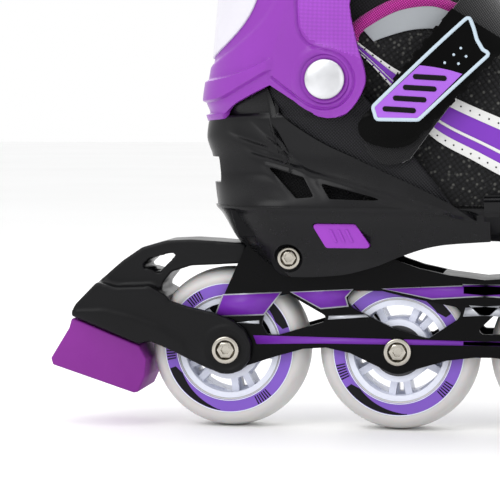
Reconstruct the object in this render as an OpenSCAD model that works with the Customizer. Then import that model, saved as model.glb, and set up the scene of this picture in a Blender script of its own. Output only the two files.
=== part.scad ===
// Right inline skate: adjustable boot with hinged cuff, four wheels and a heel brake.
// X points to the toe, Y to the inner (left) side, Z up. The origin is on the ground, in the plane
// of the wheels, midway between the first and the last axle.

/* [Wheels] */
// Wheel diameter
wheel_d = 70; // [68:1:71]
// Wheel width
wheel_w = 24; // [23:0.5:24]
// Distance between neighbouring axles
axle_pitch = 74; // [74:1:76]

/* [Frame] */
// Thickness of the frame's side plates
plate_t = 2.5; // [2:0.5:3]
// Gap between the side plates
channel_w = 26; // [26:0.5:27]

/* [Boot] */
// Wall of the hard shells
shell_t = 2.5; // [2:0.5:2.5]
// Travel of the toe section, four sizes
size_travel = 20; // [12:1:20]
// Travel of the size button
button_travel = 4; // [3:0.5:4]

/* [Hidden] */

wheel_r = wheel_d / 2;
axle_z = wheel_r;
axle_x = [for (i = [0:3]) (i - 1.5) * axle_pitch];
plate_in = channel_w / 2;
plate_out = plate_in + plate_t;
heel_deck_z = 84;
toe_deck_z = 80;
hub_r = 22;
bearing_r = 11;
bearing_w = 7;
race_r = 6;
axle_r = 4;
ball_r = 1.95;
ball_track_r = 7.5;
head_r = 6;
brake_arm_t = 3.6;
spokes = 5;
fit = 0.02;
pivot = [-65.2, 0, 151];
pivot_boss_y = 43.6;
cuff_gap = 1.6;
cuff_out = cuff_gap + shell_t + 0.1;
panel_in = shell_t + 0.3;
panel_t = 1.4;
upper_in = shell_t + 2.2;
upper_t = 2;
tongue_t = 4;
collar_pad_t = 4.5;
heel_pad_t = 5;
split_x = 28;
mount_bolt_r = 3;
mount_head_r = 5;
mount_well_r = 6;
heel_bolt_at = [-83, 0, 75.3];
toe_bolt_at = [72, 0, 74.5];
button_at = [-59.5, 0, 85.5];
button_in = 24.2;
button_floor = button_in - button_travel - 3;

// ---- outline helpers ----

function unit(v) = v / norm(v);
function arc(c, r, from, to, n = 8) =
    [for (i = [0:n]) let (a = from + (to - from) * i / n) c + r * [cos(a), sin(a)]];

// A closed outline with every corner rounded to radius r
function rounded(p, r, n = 3) = [for (i = [0:len(p) - 1])
    let (a = p[(i + len(p) - 1) % len(p)], b = p[i], c = p[(i + 1) % len(p)],
        u = unit(a - b), v = unit(c - b), half = acos(min(1, max(-1, u * v))) / 2,
        want = r / tan(half), cut = min(want, norm(a - b) * 0.45, norm(c - b) * 0.45))
    for (k = [0:n]) let (t = k / n, q = (1 - t) * (1 - t) * (b + u * cut)
        + 2 * t * (1 - t) * b + t * t * (b + v * cut)) q];

// A side outline in X and Z, given its thickness from y0 to y1
module side(points, y0, y1) {
    translate([0, y1, 0]) rotate([90, 0, 0]) linear_extrude(y1 - y0) polygon(points);
}

// A cylinder along Y from y0 to y1
module rod(at, r, y0, y1, fn = 48) {
    translate([at[0], y1, at[2]]) rotate([90, 0, 0]) cylinder(r = r, h = y1 - y0, $fn = fn);
}

module both_sides() {
    children();
    mirror([0, 1, 0]) children();
}

// ---- the boot's form: level sections from sole to collar ----

back_x = [[84, -107], [92, -114], [97, -117], [107, -118.5], [118, -119.5], [127, -122], [133, -121.3],
    [135.4, -120.3], [137, -116.5], [142, -118], [150, -117], [165, -114.5], [187, -112], [230, -110], [285, -109]];
front_x = [[84, 118], [92, 131], [97, 135], [107, 136], [116, 130], [124, 116], [132, 96], [142, 68],
    [152, 46], [165, 25], [184, 5], [200, -5], [230, -11], [285, -13]];
heel_w = [[84, 27], [92, 33], [97, 36.5], [107, 37], [118, 37.5], [127, 38.5], [136, 40], [165, 40],
    [187, 41], [230, 43], [285, 45]];
ball_w = [[84, 38], [92, 44], [97, 47], [107, 48], [116, 46], [124, 43], [132, 40], [142, 38.5],
    [152, 39], [165, 40], [187, 40], [230, 41], [285, 43]];
ring_points = 36;

function blend(u) = u * u * (3 - 2 * u);
function boot_ring(z, inset) = let (xb = lookup(z, back_x) + inset, xf = lookup(z, front_x) - inset)
    [for (i = [0:ring_points - 1]) let (t = 360 * i / ring_points, u = (1 + cos(t)) / 2,
        x = xb + (xf - xb) * u, reach = max(0, x - 20) / 115,
        w = lookup(z, heel_w) + (lookup(z, ball_w) - lookup(z, heel_w)) * blend(u) - inset)
        [x, w * sign(sin(t)) * pow(abs(sin(t)), 0.8) + 4 * reach * reach, z]];

// Half width of the boot's form at a side point in X and Z
function form_y(x, z, inset) = let (xb = lookup(z, back_x) + inset, xf = lookup(z, front_x) - inset,
    u = (x - xb) / (xf - xb), reach = max(0, x - 20) / 115,
    w = lookup(z, heel_w) + (lookup(z, ball_w) - lookup(z, heel_w)) * blend(u) - inset)
    w * pow(sqrt(max(0, 4 * u * (1 - u))), 0.8) + 4 * reach * reach;

// How far forward the boot's form reaches at half width y and height z
function form_x(y, z, inset) = let (xb = lookup(z, back_x) + inset, xf = lookup(z, front_x) - inset,
    s = pow(y / (lookup(z, ball_w) - inset), 1.25)) xb + (xf - xb) * (1 + sqrt(1 - s * s)) / 2;

// Puts a child on the form's inner (s = 1) or outer (s = -1) side, its +Z along the surface's normal
module on_side(x, z, inset, s) {
    y = form_y(x, z, inset);
    n = unit([-(form_y(x + 1, z, inset) - y), 1, -(form_y(x, z + 1, inset) - y)]);
    mirror([0, s < 0 ? 1 : 0, 0]) translate([x, y, z]) rotate(a = acos(n[2]), v = cross([0, 0, 1], n)) children();
}

// A solid of the boot's form, over the given levels
module boot_body(levels, inset) {
    n = ring_points;
    m = len(levels);
    points = [for (z = levels) each boot_ring(z, inset)];
    faces = [
        for (k = [0:m - 2]) for (i = [0:n - 1]) each [
            [k * n + i, k * n + n + i, k * n + n + (i + 1) % n],
            [k * n + i, k * n + n + (i + 1) % n, k * n + (i + 1) % n]],
        [for (i = [0:n - 1]) i],
        [for (i = [0:n - 1]) m * n - 1 - i]];
    polyhedron(points, faces);
}

// A wall between two insets of the boot's form, over the given levels
module boot_wall(levels, outer, inner) {
    n = ring_points;
    m = len(levels);
    points = [for (inset = [outer, inner]) for (z = levels) each boot_ring(z, inset)];
    function id(side, k, i) = side * n * m + k * n + i % n;
    faces = [
        for (k = [0:m - 2]) for (i = [0:n - 1]) each [
            [id(0, k, i), id(0, k + 1, i), id(0, k + 1, i + 1)],
            [id(0, k, i), id(0, k + 1, i + 1), id(0, k, i + 1)],
            [id(1, k, i), id(1, k + 1, i + 1), id(1, k + 1, i)],
            [id(1, k, i), id(1, k, i + 1), id(1, k + 1, i + 1)]],
        for (i = [0:n - 1]) each [
            [id(0, 0, i), id(0, 0, i + 1), id(1, 0, i + 1)],
            [id(0, 0, i), id(1, 0, i + 1), id(1, 0, i)],
            [id(0, m - 1, i), id(1, m - 1, i + 1), id(0, m - 1, i + 1)],
            [id(0, m - 1, i), id(1, m - 1, i), id(1, m - 1, i + 1)]]];
    polyhedron(points, faces);
}

// ---- wheels ----

module wheel_turn(profile, i) {
    translate([axle_x[i], 0, axle_z]) rotate([90, 0, 0]) rotate_extrude($fn = 96) polygon(profile);
}

module tyre(i) {
    shoulder_r = wheel_r - 6;
    half = wheel_w / 2;
    crown = [for (a = [0:10:180]) [shoulder_r + 6 * sin(a), half * cos(a)]];
    color("whitesmoke") wheel_turn(concat([[hub_r + fit, half - 0.8]], crown, [[hub_r + fit, 0.8 - half]]), i);
}

module hub(i) {
    half = wheel_w / 2;
    rim_in = 19.6;
    boss_r = 13.6;
    seat = half - bearing_w;
    turn = [0, 16, 30, 52][i];
    color("aliceblue") union() {
        wheel_turn([[rim_in, half - 1], [hub_r, half - 1], [hub_r, 1 - half], [rim_in, 1 - half]], i);
        wheel_turn([[9.5, seat], [bearing_r, seat], [bearing_r, half], [boss_r, half], [boss_r, -half],
            [bearing_r, -half], [bearing_r, -seat], [9.5, -seat]], i);
        translate([axle_x[i], 0, axle_z]) rotate([0, turn, 0]) {
            for (k = [1:spokes]) for (s = [-1, 1])
                rotate([0, k * 360 / spokes + s * 11, 0]) translate([boss_r - 0.6, -7.5, -1.5]) cube([rim_in - boss_r + 1.2, 15, 3]);
            rotate([90, 0, 0]) difference() {
                cylinder(r = rim_in + 0.2, h = 5, center = true, $fn = 96);
                cylinder(r = boss_r - 0.2, h = 6, center = true, $fn = 96);
                for (k = [1:spokes]) rotate([0, 0, k * 360 / spokes + 36]) translate([16.6, 0, 0]) linear_extrude(6, center = true)
                    polygon(rounded([[-2.6, -5.4], [2.6, -7.2], [2.6, 7.2], [-2.6, 5.4]], 2));
                for (k = [1:spokes]) rotate([0, 0, k * 360 / spokes]) translate([14.6, -0.9, -3]) cube([4, 1.8, 6]);
            }
        }
    }
}

module bearings(i) {
    half = wheel_w / 2;
    edge = bearing_w / 2;
    color("dimgray") both_sides() {
        translate([axle_x[i], half - bearing_w / 2, axle_z]) rotate([90, 0, 0]) {
            rotate_extrude($fn = 64) difference() {
                polygon([[bearing_r - fit, -edge], [bearing_r - fit, edge], [9.2, edge], [9.2, edge - 0.3],
                    [race_r + 0.2, edge - 0.3], [race_r + 0.2, edge - 0.6], [9, edge - 0.6], [9, -edge]]);
                translate([ball_track_r, 0]) circle(r = ball_r + 0.1, $fn = 32);
            }
            for (k = [0:6]) rotate([0, 0, k * 360 / 7]) translate([ball_track_r, 0, 0]) sphere(r = ball_r, $fn = 24);
        }
    }
}

module bearing_inner_races() {
    half = wheel_w / 2;
    edge = bearing_w / 2;
    color("silver") for (x = axle_x) both_sides() translate([x, half - bearing_w / 2, axle_z]) rotate([90, 0, 0])
        rotate_extrude($fn = 64) difference() {
            polygon([[axle_r, -edge], [race_r, -edge], [race_r, edge], [axle_r, edge]]);
            translate([ball_track_r, 0]) circle(r = ball_r + 0.1, $fn = 32);
        }
}

module wheel_spacers() {
    reach = wheel_w / 2 - bearing_w;
    color("silver") for (x = axle_x) difference() {
        rod([x, 0, axle_z], race_r, -reach, reach);
        rod([x, 0, axle_z], axle_r, -reach - 1, reach + 1);
    }
}

// Screws along Y: a head with a hexagon socket, outside the plate or the brake arm
module socket_head(at, r, y, out, thick = 2.4) {
    dir = out < 0 ? -1 : 1;
    difference() {
        translate([at[0], y, at[2]]) rotate([-90 * dir, 0, 0]) rotate_extrude($fn = 48)
            polygon([[0, 0], [r, 0], [r, thick * 0.55], [r - 0.9, thick], [0, thick]]);
        translate([at[0], y + dir * 0.8, at[2]]) rotate([-90 * dir, 0, 0]) cylinder(r = 2.3, h = thick, $fn = 6);
    }
}

function head_y(i) = plate_out + (i == 0 ? brake_arm_t : 0);

module axle_bolts() {
    color("silver") for (i = [0:3]) let (at = [axle_x[i], 0, axle_z], y = head_y(i) + 0.05) {
        socket_head(at, head_r, -y, -1);
        difference() {
            rod(at, axle_r - fit, -y, 11);
            rod(at, 2.5, -5, 12, 32);
        }
    }
}

module axle_screws() {
    color("silver") for (i = [0:3]) let (at = [axle_x[i], 0, axle_z], y = head_y(i) + 0.05) {
        socket_head(at, head_r, y, 1);
        rod(at, axle_r - fit, 11.2, y);
        rod(at, 2.4, -4, 11.2, 32);
    }
}

// ---- frame ----

frame_outline = concat(
    [[-104, 77.5], [-100, heel_deck_z], [-52, heel_deck_z], [-44, 77.5], [-36, 73.6], [-28, 70.9], [-15, 68.1],
        [0, 66.3], [15, 67.4], [28, 70], [38, 74.5], [46, toe_deck_z], [104, toe_deck_z], [117, 50]],
    arc([axle_x[3], axle_z], 9.6, 20, -100, 6),
    [[90, 32], [78, 35.5], [68, 36.2], [57.5, 34.1], [45, 28.2]],
    arc([axle_x[2], axle_z], 9.6, -62, -118, 4),
    [[16, 31.6], [4, 33.1], [-4, 33.1], [-16, 31.6]],
    arc([axle_x[1], axle_z], 9.6, -62, -118, 4),
    [[-45, 28.2], [-57.5, 34.1], [-68, 36.3], [-78, 35.5], [-90, 32]],
    arc([axle_x[0], axle_z], 9.6, -80, -200, 6),
    [[-116.3, 49.8]]);
// The space between the plates, open upwards over the two middle wheels
channel_outline = [[-130, 20], [-130, 81.5], [-53, 81.5], [-48, 77.5], [-48, 90], [-18, 90], [-18, 65.8],
    [0, 63.8], [18, 65.3], [18, 90], [46, 90], [46, 77.4], [130, 77.4], [130, 20]];
windows = [
    [[-84.4, 59.2], [-68, 50], [-68.8, 47.4], [-88.5, 41.4], [-93.6, 41.4], [-96, 46], [-94.6, 51.6], [-90, 58]],
    [[-56.5, 61], [-59, 57], [-56.5, 53.6], [-38.7, 45], [-24, 40.8], [-11.6, 49.2], [-9.8, 52], [-12, 54.6],
        [-34.6, 58.8], [-43.5, 61]],
    [[-2.5, 45], [-1.2, 43], [19, 43], [25, 46.5], [24, 53], [18.5, 60], [12.6, 59.6]],
    [[37, 60.5], [32, 56.5], [34.5, 52], [48, 42.5], [52, 41.2], [62.5, 48.8], [64, 52], [61.5, 55], [50, 60.5]],
    [[84.4, 59.2], [70, 50], [70.8, 47.4], [88.5, 41.4], [93.6, 41.4], [96, 46], [94.6, 51.6], [90, 58]]];

module frame() {
    color("black") difference() {
        side(frame_outline, -plate_out, plate_out);
        difference() {
            side(channel_outline, -plate_in, plate_in);
            for (x = axle_x) both_sides() rod([x, 0, axle_z], race_r, wheel_w / 2, plate_in + 1);
        }
        for (w = windows) side(rounded(w, 2), -plate_out - 1, plate_out + 1);
        for (x = axle_x) rod([x, 0, axle_z], axle_r, -plate_out - 1, plate_out + 1);
        rod(heel_bolt_at, mount_bolt_r, -plate_out - 1, plate_out + 1);
        rod(toe_bolt_at, mount_bolt_r, -plate_out - 1, plate_out + 1);
    }
}

// Half widths of the shells' skirts at the bolts
heel_skirt_y = 24.5;
toe_skirt_y = 23.5;

module mount_bolt(at, y) {
    color("silver") union() {
        socket_head(at, mount_head_r, -y, -1, 2);
        difference() {
            rod(at, mount_bolt_r - fit, -y - 0.5, 8);
            rod(at, 2, -2, 9, 32);
        }
    }
}

module mount_nut(at, y) {
    color("silver") union() {
        socket_head(at, mount_head_r, y, 1, 2);
        rod(at, mount_bolt_r - fit, 8.2, y + 0.5);
        rod(at, 1.9, 0, 8.4, 32);
    }
}

// ---- rear shell ----

base_outline = [[-118, 98], [-116.6, 96], [-113.6, 91.4], [-107.7, 81.8], [-102, 77.5], [-98.4, 73.3], [-92.5, 68.8],
    [-86.9, 67.3], [-76.6, 67.1], [-61.4, 68.1], [-46.3, 71.9], [-34.6, 76.7], [-23, 80.7], [-15.5, 82], [-6, 83],
    [0, 83.3], [0, 94], [-20, 98]];
cup_outline = concat(
    [[-124, 88], [-124, 135.4], [-113.6, 135.4], [-91, 147.6], [-82, 152]],
    arc([pivot[0], pivot[2]], 14, 150, 10, 8),
    [[-52, 146], [-60, 139], [-75, 129.2], [-63.3, 122.6], [-49.8, 116.6], [-36.4, 110.5], [-22.9, 104.5],
        [-12.8, 99.7], [-2.7, 92.5], [-2, 88]]);
heel_vent = [[-126, 118.5], [-114.5, 118.2], [-109.6, 113.5], [-109.2, 108.6], [-114, 107.4], [-126, 107.4]];
side_vents = [
    [[-91.5, 114.3], [-75.6, 109.8], [-70.4, 101.6], [-78.3, 101.2]],
    [[-68.6, 107.4], [-40, 100.6], [-64, 101]]];
rack_z = 88;
rail_y = 24;
rail_t = 4;
anchor = [-44.5, 121];
anchor_r = 2;

module base_section() {
    rotate([90, 0, 90]) translate([0, 0, -130]) linear_extrude(140)
        polygon([[-27, 60], [-22.5, 66], [-heel_skirt_y, 74], [-31, 84], [-35.8, 96.5], [-35.8, 99], [35.8, 99],
            [35.8, 96.5], [31, 84], [heel_skirt_y, 74], [22.5, 66], [27, 60]]);
}

module plan_outline() {
    translate([0, 0, 60]) linear_extrude(60)
        polygon(concat(arc([-81, 0], 36, 90, 270, 14), [[0, -36], [0, 36]]));
}

shell_levels = [96, 101, 107, 113, 118, 123, 127, 133, 135.4, 137, 142, 150, 166];

module rear_shell() {
    color("#202024") difference() {
        union() {
            intersection() {
                boot_wall(shell_levels, 0, shell_t);
                side(cup_outline, -60, 60);
                translate([-130, -60, 80]) cube([130, 120, 100]);
            }
            intersection() {
                boot_wall([131, 133, 135.4, 137, 142, 152], 1, shell_t + 1);
                side([[-130, 131], [-130, 150], [-100, 152], [-84, 150], [-84, 131]], -60, 60);
            }
            intersection() {
                side(base_outline, -40, 40);
                base_section();
                plan_outline();
            }
        }
        boot_body([96, 99.5], shell_t + 0.05);
        translate([-112, -plate_out - 0.3, 50]) cube([116, 2 * plate_out + 0.6, 34]);
        translate([-96, -16, rack_z - 0.4]) cube([100, 32, 3.6]);
        both_sides() translate([-28.4, rail_y - 0.3, rack_z - 2.4]) cube([32, rail_t + 0.6, 12]);
        for (s = [-1, 1]) on_side(anchor[0], anchor[1], 0, s) cylinder(r = anchor_r, h = 20, center = true, $fn = 32);
        side(button_outline(0.4), -40, -button_floor);
        rod(heel_bolt_at, mount_bolt_r, -40, 40);
        both_sides() rod(heel_bolt_at, mount_well_r, heel_skirt_y - 2.5, 40);
        rod(pivot, axle_r, -60, 60);
        side(rounded(heel_vent, 2), -14, 14);
        for (v = side_vents) side(rounded(v, 0.8), -60, 60);
    }
}

panel_outline = [[-83, 141], [-80.8, 141.8], [-70, 136.4], [-63.3, 134.8], [-56.6, 135.4], [-45, 138], [-32.1, 122.7],
    [-12.6, 98.5], [-30, 100], [-75, 112], [-83, 119]];

module ankle_panels() {
    color("#2a2a2e") difference() {
        intersection() {
            boot_wall(shell_levels, panel_in, panel_in + panel_t);
            side(panel_outline, -60, 60);
        }
        for (s = [-1, 1]) on_side(anchor[0], anchor[1], 0, s) cylinder(r = anchor_r, h = 20, center = true, $fn = 32);
    }
}

module heel_liner() {
    color("#18181a") intersection() {
        boot_wall([98.5, 107, 118, 127, 133, 137, 142], upper_in, upper_in + heel_pad_t);
        translate([-130, -60, 90]) cube([76, 120, 60]);
    }
}

upper_levels = [98.5, 104, 110, 116, 120, 124, 128, 132, 137, 142, 152, 165, 178, 182];

module instep_upper() {
    color("#151517") difference() {
        intersection() {
            boot_wall(upper_levels, upper_in, upper_in + upper_t);
            side([[-50, 98.5], [-50, 150], [-48, 166], [-40, 176], [-28, 181], [-12, 178], [2, 170],
                [split_x, 158], [split_x, 98.5]], -60, 60);
        }
        translate([-30, -11, 128]) cube([80, 22, 60]);
    }
}

module insole() {
    color("#303034") translate([0, 0, 96.2]) linear_extrude(2.2)
        polygon(concat(arc([-82, 0], 24, 90, 270, 12), arc([72, 2], 30, -90, 90, 12)));
}

module pivot_posts() {
    color("silver") both_sides() rod(pivot, axle_r - fit, 36.5, pivot_boss_y + 0.15);
}

module pivot_caps() {
    color("gainsboro") both_sides() translate([pivot[0], pivot_boss_y + 0.15, pivot[2]]) rotate([-90, 0, 0]) rotate_extrude($fn = 64)
        polygon([[0, 0], [8.2, 0], [8.2, 0.9], [7.4, 1.6], [4, 2.1], [0, 2.3]]);
}

// ---- size adjuster ----

function button_outline(grow) = let (x = button_at[0], z = button_at[2]) rounded([
    [x - 12.6 - grow * 1.4, z + 5 + grow], [x + 5.8 + grow * 0.4, z + 5 + grow],
    [x + 13 + grow * 1.4, z - 5 - grow], [x - 6 - grow * 0.4, z - 5 - grow]], 1.8);

module size_button() {
    color("mediumorchid") union() {
        side(button_outline(0), -33.6, -button_in);
        rod(button_at, 1.6, -button_in - 0.3, -button_floor - button_travel - 0.2, 24);
    }
}

module button_spring() {
    color("silver") difference() {
        rod(button_at, 3.2, -button_in, -button_floor, 32);
        rod(button_at, 2, -button_in - 1, -button_floor + 1, 32);
    }
}

module size_rack() {
    color("#303034") union() {
        translate([-74, -15, rack_z]) cube([104, 30, 2.8]);
        translate([4, -30, rack_z]) cube([26, 60, 2.8]);
        both_sides() translate([-28, rail_y, rack_z - 2]) cube([34, rail_t, 9.6]);
    }
}

// ---- toe section ----

toe_outline = [[1, 80], [1, 104], [30, 104], [62, 107], [82, 113], [98, 123], [104, 128], [150, 128], [150, 80]];
toe_base_outline = [[1, 83.4], [12, 83.2], [24, 81.5], [34, 78], [44, 73], [56, 69.6], [72, 68], [88, 69.5],
    [100, 74.5], [112, 82], [122, 88], [122, 95.8], [1, 95.8]];

module front_shell() {
    color("#202024") difference() {
        union() {
            intersection() {
                boot_wall([86, 92, 97, 102, 107, 112, 116, 120, 124, 128], 0, shell_t);
                side(toe_outline, -60, 60);
            }
            intersection() {
                side(toe_base_outline, -46, 46);
                translate([0, 0, 60]) linear_extrude(60) polygon(concat([[1, -35]], arc([80, 2], 34, -90, 90, 12), [[1, 35]]));
                rotate([90, 0, 90]) linear_extrude(140)
                    polygon([[-20, 66], [-toe_skirt_y, 75], [-38, 87], [-46, 97], [46, 97], [38, 87], [toe_skirt_y, 75], [20, 66]]);
            }
        }
        translate([0, -plate_out - 0.3, 60]) cube([125, 2 * plate_out + 0.6, 20.2]);
        translate([0, -30.1, rack_z - 0.1]) cube([30.2, 60.2, 3]);
        both_sides() translate([0, rail_y - 0.1, rack_z - 2.1]) cube([6.2, rail_t + 0.2, 9.8]);
        both_sides() travel_slot(mount_bolt_r + 0.2, 14, 34);
        both_sides() travel_slot(5.4, toe_skirt_y - 2.5, 38);
    }
}

// The slot in which the toe bolt stays while the toe section moves over it
module travel_slot(r, y0, y1) {
    rod(toe_bolt_at - [size_travel, 0, 0], r, y0, y1);
    rod(toe_bolt_at, r, y0, y1);
    translate(toe_bolt_at + [-size_travel, y0, -r]) cube([size_travel, y1 - y0, 2 * r]);
}

bumper_t = 1.5;

module toe_bumper() {
    color("#303034") intersection() {
        boot_wall([92, 97, 102], -bumper_t - 0.1, -0.1);
        translate([96, -60, 80]) cube([60, 120, 40]);
    }
}

module vamp() {
    color("#151517") difference() {
        intersection() {
            boot_wall(upper_levels, upper_in, upper_in + upper_t);
            translate([split_x + 0.4, -60, 90]) cube([110, 120, 80]);
        }
        translate([split_x, -11, 128]) cube([40, 22, 60]);
    }
}

module tongue() {
    color("#1b1b1e") intersection() {
        boot_wall([124, 128, 132, 137, 142, 152, 160], upper_in + upper_t + 0.4, upper_in + upper_t + 0.4 + tongue_t);
        translate([-22, -22, 120]) cube([100, 44, 60]);
    }
}

eyelet_y = 16;
eyelet_r = 3;
eyelet_hole_r = 1.6;
eyelet_levels = [135, 140, 145, 150];

module lace_eyelets() {
    color("orchid") both_sides() for (z = eyelet_levels) {
        x = form_x(eyelet_y, z, upper_in);
        n = unit([1, form_x(eyelet_y, z, upper_in) - form_x(eyelet_y + 1, z, upper_in),
            form_x(eyelet_y, z, upper_in) - form_x(eyelet_y, z + 1, upper_in)]);
        translate([x, eyelet_y, z]) rotate(a = acos(n[2]), v = cross([0, 0, 1], n)) difference() {
            translate([0, 0, 0.4]) cylinder(r = eyelet_r, h = 1, $fn = 24);
            translate([0, 0, -1]) cylinder(r = eyelet_hole_r, h = 3, $fn = 24);
        }
    }
}

// ---- cuff ----

cuff_levels = [133, 135.4, 137, 142, 147, 154, 162, 172, 184, 198, 214, 232, 252, 278];
cuff_outline = concat([[-128, 136.1], [-112.2, 136.4], [-89.5, 148.6]], arc([pivot[0], pivot[2]], 16.5, -128, 12, 12),
    [[-53.2, 169.5], [-54.9, 178], [-54, 186], [-49, 198], [-40, 212], [-34, 228], [-32, 244], [-34, 256],
        [-42, 263], [-60, 266], [-90, 271], [-128, 275]]);
spine_outline = [for (a = [0:15:345]) [25 * cos(a), 208 + 47 * sin(a)]];

module spine_cut(grow) {
    translate([-130, 0, 0]) rotate([90, 0, 90]) linear_extrude(45) polygon(
        [for (p = spine_outline) let (d = unit(p - [0, 208])) p + grow * d]);
}

module cuff_shell() {
    color("mediumorchid") difference() {
        union() {
            intersection() {
                boot_wall(cuff_levels, -cuff_out, -cuff_gap);
                side(cuff_outline, -60, 60);
            }
            both_sides() rod(pivot, 12, 36, pivot_boss_y, 64);
        }
        boot_body(cuff_levels, 0.05 - cuff_gap);
        spine_cut(0);
        rod(pivot, axle_r + 0.03, -60, 60);
        for (x = buckle_rivet_x) on_side(x, buckle_z, 0, -1) cylinder(r = buckle_rivet_r, h = 30, center = true, $fn = 32);
        on_side(ladder_end[0], ladder_end[1], 0, 1) cylinder(r = ladder_rivet_r, h = 30, center = true, $fn = 32);
    }
}

module spine_panel() {
    color("whitesmoke") intersection() {
        boot_wall(cuff_levels, 0.5 - cuff_out, -cuff_gap);
        spine_cut(-0.4);
    }
}

module cuff_liner() {
    color("#18181a") difference() {
        boot_wall([168, 176, 187, 200, 215, 230, 250, 270, 285], upper_in + 4, upper_in + 4 + collar_pad_t);
        side([[-20, 160], [-20, 168], [6, 206], [30, 206], [30, 160]], -60, 60);
    }
}

buckle_z = 236;
buckle_out = cuff_out + 6.8;
buckle_rivet_x = [-66, -54];
buckle_rivet_r = 1.8;
hinge_at = [-40, -46.4, buckle_z];
ladder_end = [-50, buckle_z];
ladder_t = 2;
ladder_rivet_r = 2;
buckle_high = 21;
lever_high = 17;
ladder_high = 14;
pin_r = 1.5;
pin_h = 17.8;

module buckle_base() {
    color("#202024") difference() {
        intersection() {
            boot_wall(cuff_levels, -buckle_out, -cuff_out);
            translate([-72, -60, buckle_z - buckle_high / 2]) cube([38, 60, buckle_high]);
        }
        translate([-46, -60, buckle_z - 5.6]) cube([20, 16.7, 11.2]);
        translate([-70, -60, buckle_z - 5.6]) cube([26, 11.4, 11.2]);
        translate([hinge_at[0], hinge_at[1], buckle_z - 9]) cylinder(r = pin_r + fit, h = 18, $fn = 32);
        for (x = buckle_rivet_x) on_side(x, buckle_z, 0, -1) cylinder(r = buckle_rivet_r, h = 30, center = true, $fn = 32);
    }
}

module buckle_rivets() {
    color("silver") for (x = buckle_rivet_x) on_side(x, buckle_z, 0, -1)
        translate([0, 0, cuff_gap]) cylinder(r = buckle_rivet_r - fit, h = cuff_out - cuff_gap + 2.6, $fn = 32);
}

module lever_pin() {
    color("silver") translate(hinge_at - [0, 0, pin_h / 2]) cylinder(r = pin_r, h = pin_h, $fn = 32);
}

module buckle_lever() {
    color("mediumorchid") difference() {
        union() {
            intersection() {
                boot_wall(cuff_levels, -buckle_out - 2.8, -buckle_out - 0.3);
                translate([-76, -70, buckle_z - lever_high / 2]) cube([31, 70, lever_high]);
            }
            translate(hinge_at - [0, 0, 5]) cylinder(r = 2.9, h = 10, $fn = 32);
            translate([0, 0, buckle_z - 5]) linear_extrude(10)
                polygon([[-42.7, -46.6], [-38, -48.2], [-41, -52], [-46, -55.5], [-50, -55.5], [-50, -53.6], [-46, -52.6]]);
        }
        translate([hinge_at[0], hinge_at[1], buckle_z - 12]) cylinder(r = pin_r + 0.05, h = 24, $fn = 32);
    }
}

module ladder_strap() {
    color("#202024") difference() {
        intersection() {
            boot_wall(cuff_levels, -cuff_out - ladder_t - 0.05, -cuff_out - 0.05);
            translate([-60, -60, buckle_z - ladder_high / 2]) cube([80, 120, ladder_high]);
        }
        translate([-70, -80, 220]) cube([36.4, 80, 40]);
        on_side(ladder_end[0], ladder_end[1], 0, 1) cylinder(r = ladder_rivet_r, h = 30, center = true, $fn = 32);
    }
}

module ladder_rivet() {
    color("silver") union() {
        on_side(ladder_end[0], ladder_end[1], 0, 1) {
            translate([0, 0, cuff_gap]) cylinder(r = ladder_rivet_r - fit, h = 6.5, $fn = 32);
            translate([0, 0, cuff_out + ladder_t + 0.35]) cylinder(r = 4, h = 1.2, $fn = 32);
        }
    }
}

// ---- instep strap ----

strap_low = [-41, 125];
strap_high = [3, 184];
strap_w = 21;
strap_out = 1.6;
strap_pad_out = strap_out + 2;
strap_dir = unit(strap_high - strap_low);
strap_side = [strap_dir[1], -strap_dir[0]];

function strap_corner(along, across) = strap_low + strap_dir * along + strap_side * across;

module strap_slab(from, to, w, y0, y1) {
    side([strap_corner(from, -w / 2), strap_corner(to, -w / 2), strap_corner(to, w / 2), strap_corner(from, w / 2)], y0, y1);
}

strap_levels = [112, 120, 127, 134, 142, 150, 158, 166, 175, 184, 196];

module instep_strap() {
    color("#1c1c1f") difference() {
        intersection() {
            boot_wall(strap_levels, -strap_out, 2 - strap_out);
            strap_slab(-8, 90, strap_w, -60, 60);
        }
        for (s = [-1, 1]) on_side(anchor[0], anchor[1], 0, s) cylinder(r = anchor_r, h = 20, center = true, $fn = 32);
    }
}

module strap_pad() {
    color("#101012") intersection() {
        boot_wall(strap_levels, -strap_pad_out, -strap_out - 0.1);
        strap_slab(-7, 62, strap_w - 1, -60, -22);
    }
}

module strap_ring() {
    color("#202024") intersection() {
        boot_wall(strap_levels, -strap_pad_out, -strap_out - 0.1);
        difference() {
            strap_slab(2, 14, strap_w + 5, 22, 60);
            strap_slab(5, 11, strap_w - 1, 22, 60);
        }
    }
}

module strap_rivets() {
    color("silver") for (s = [-1, 1]) on_side(anchor[0], anchor[1], 0, s)
        translate([0, 0, -4]) cylinder(r = anchor_r - fit, h = 5.4, $fn = 32);
}

// ---- heel brake ----

arm_in = plate_out + 0.1;
arm_out = plate_out + brake_arm_t;
arm_outline = concat(arc([axle_x[0], axle_z], 11, 40, -100, 10),
    [[-126.4, 29.8], [-144.6, 37.4], [-150, 37.4], [-150, 62], [-140.5, 58.6], [-135, 55.4], [-117, 51], [-108, 48.5]]);
fender_outline = [[-107, 72], [-107, 80.8], [-117, 81.4], [-128, 81.4], [-139, 80.6], [-149.6, 77], [-158.3, 71.6],
    [-168, 63.4], [-178, 53.8], [-180.2, 49.5], [-180, 48.3], [-149.8, 36.4], [-147, 38], [-148.4, 46],
    [-145.6, 56.4], [-139.6, 63.6], [-131, 69], [-121, 71.8]];
fender_hole = [[-150.5, 70], [-134, 75.9], [-132.6, 74.8], [-146.4, 66.4], [-151, 67]];
pad_outline = [[-180, 47.9], [-189.4, 29.6], [-188.4, 27], [-152.2, 15], [-150.6, 15.2], [-150.2, 22], [-151, 30],
    [-150.2, 36]];
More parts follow.
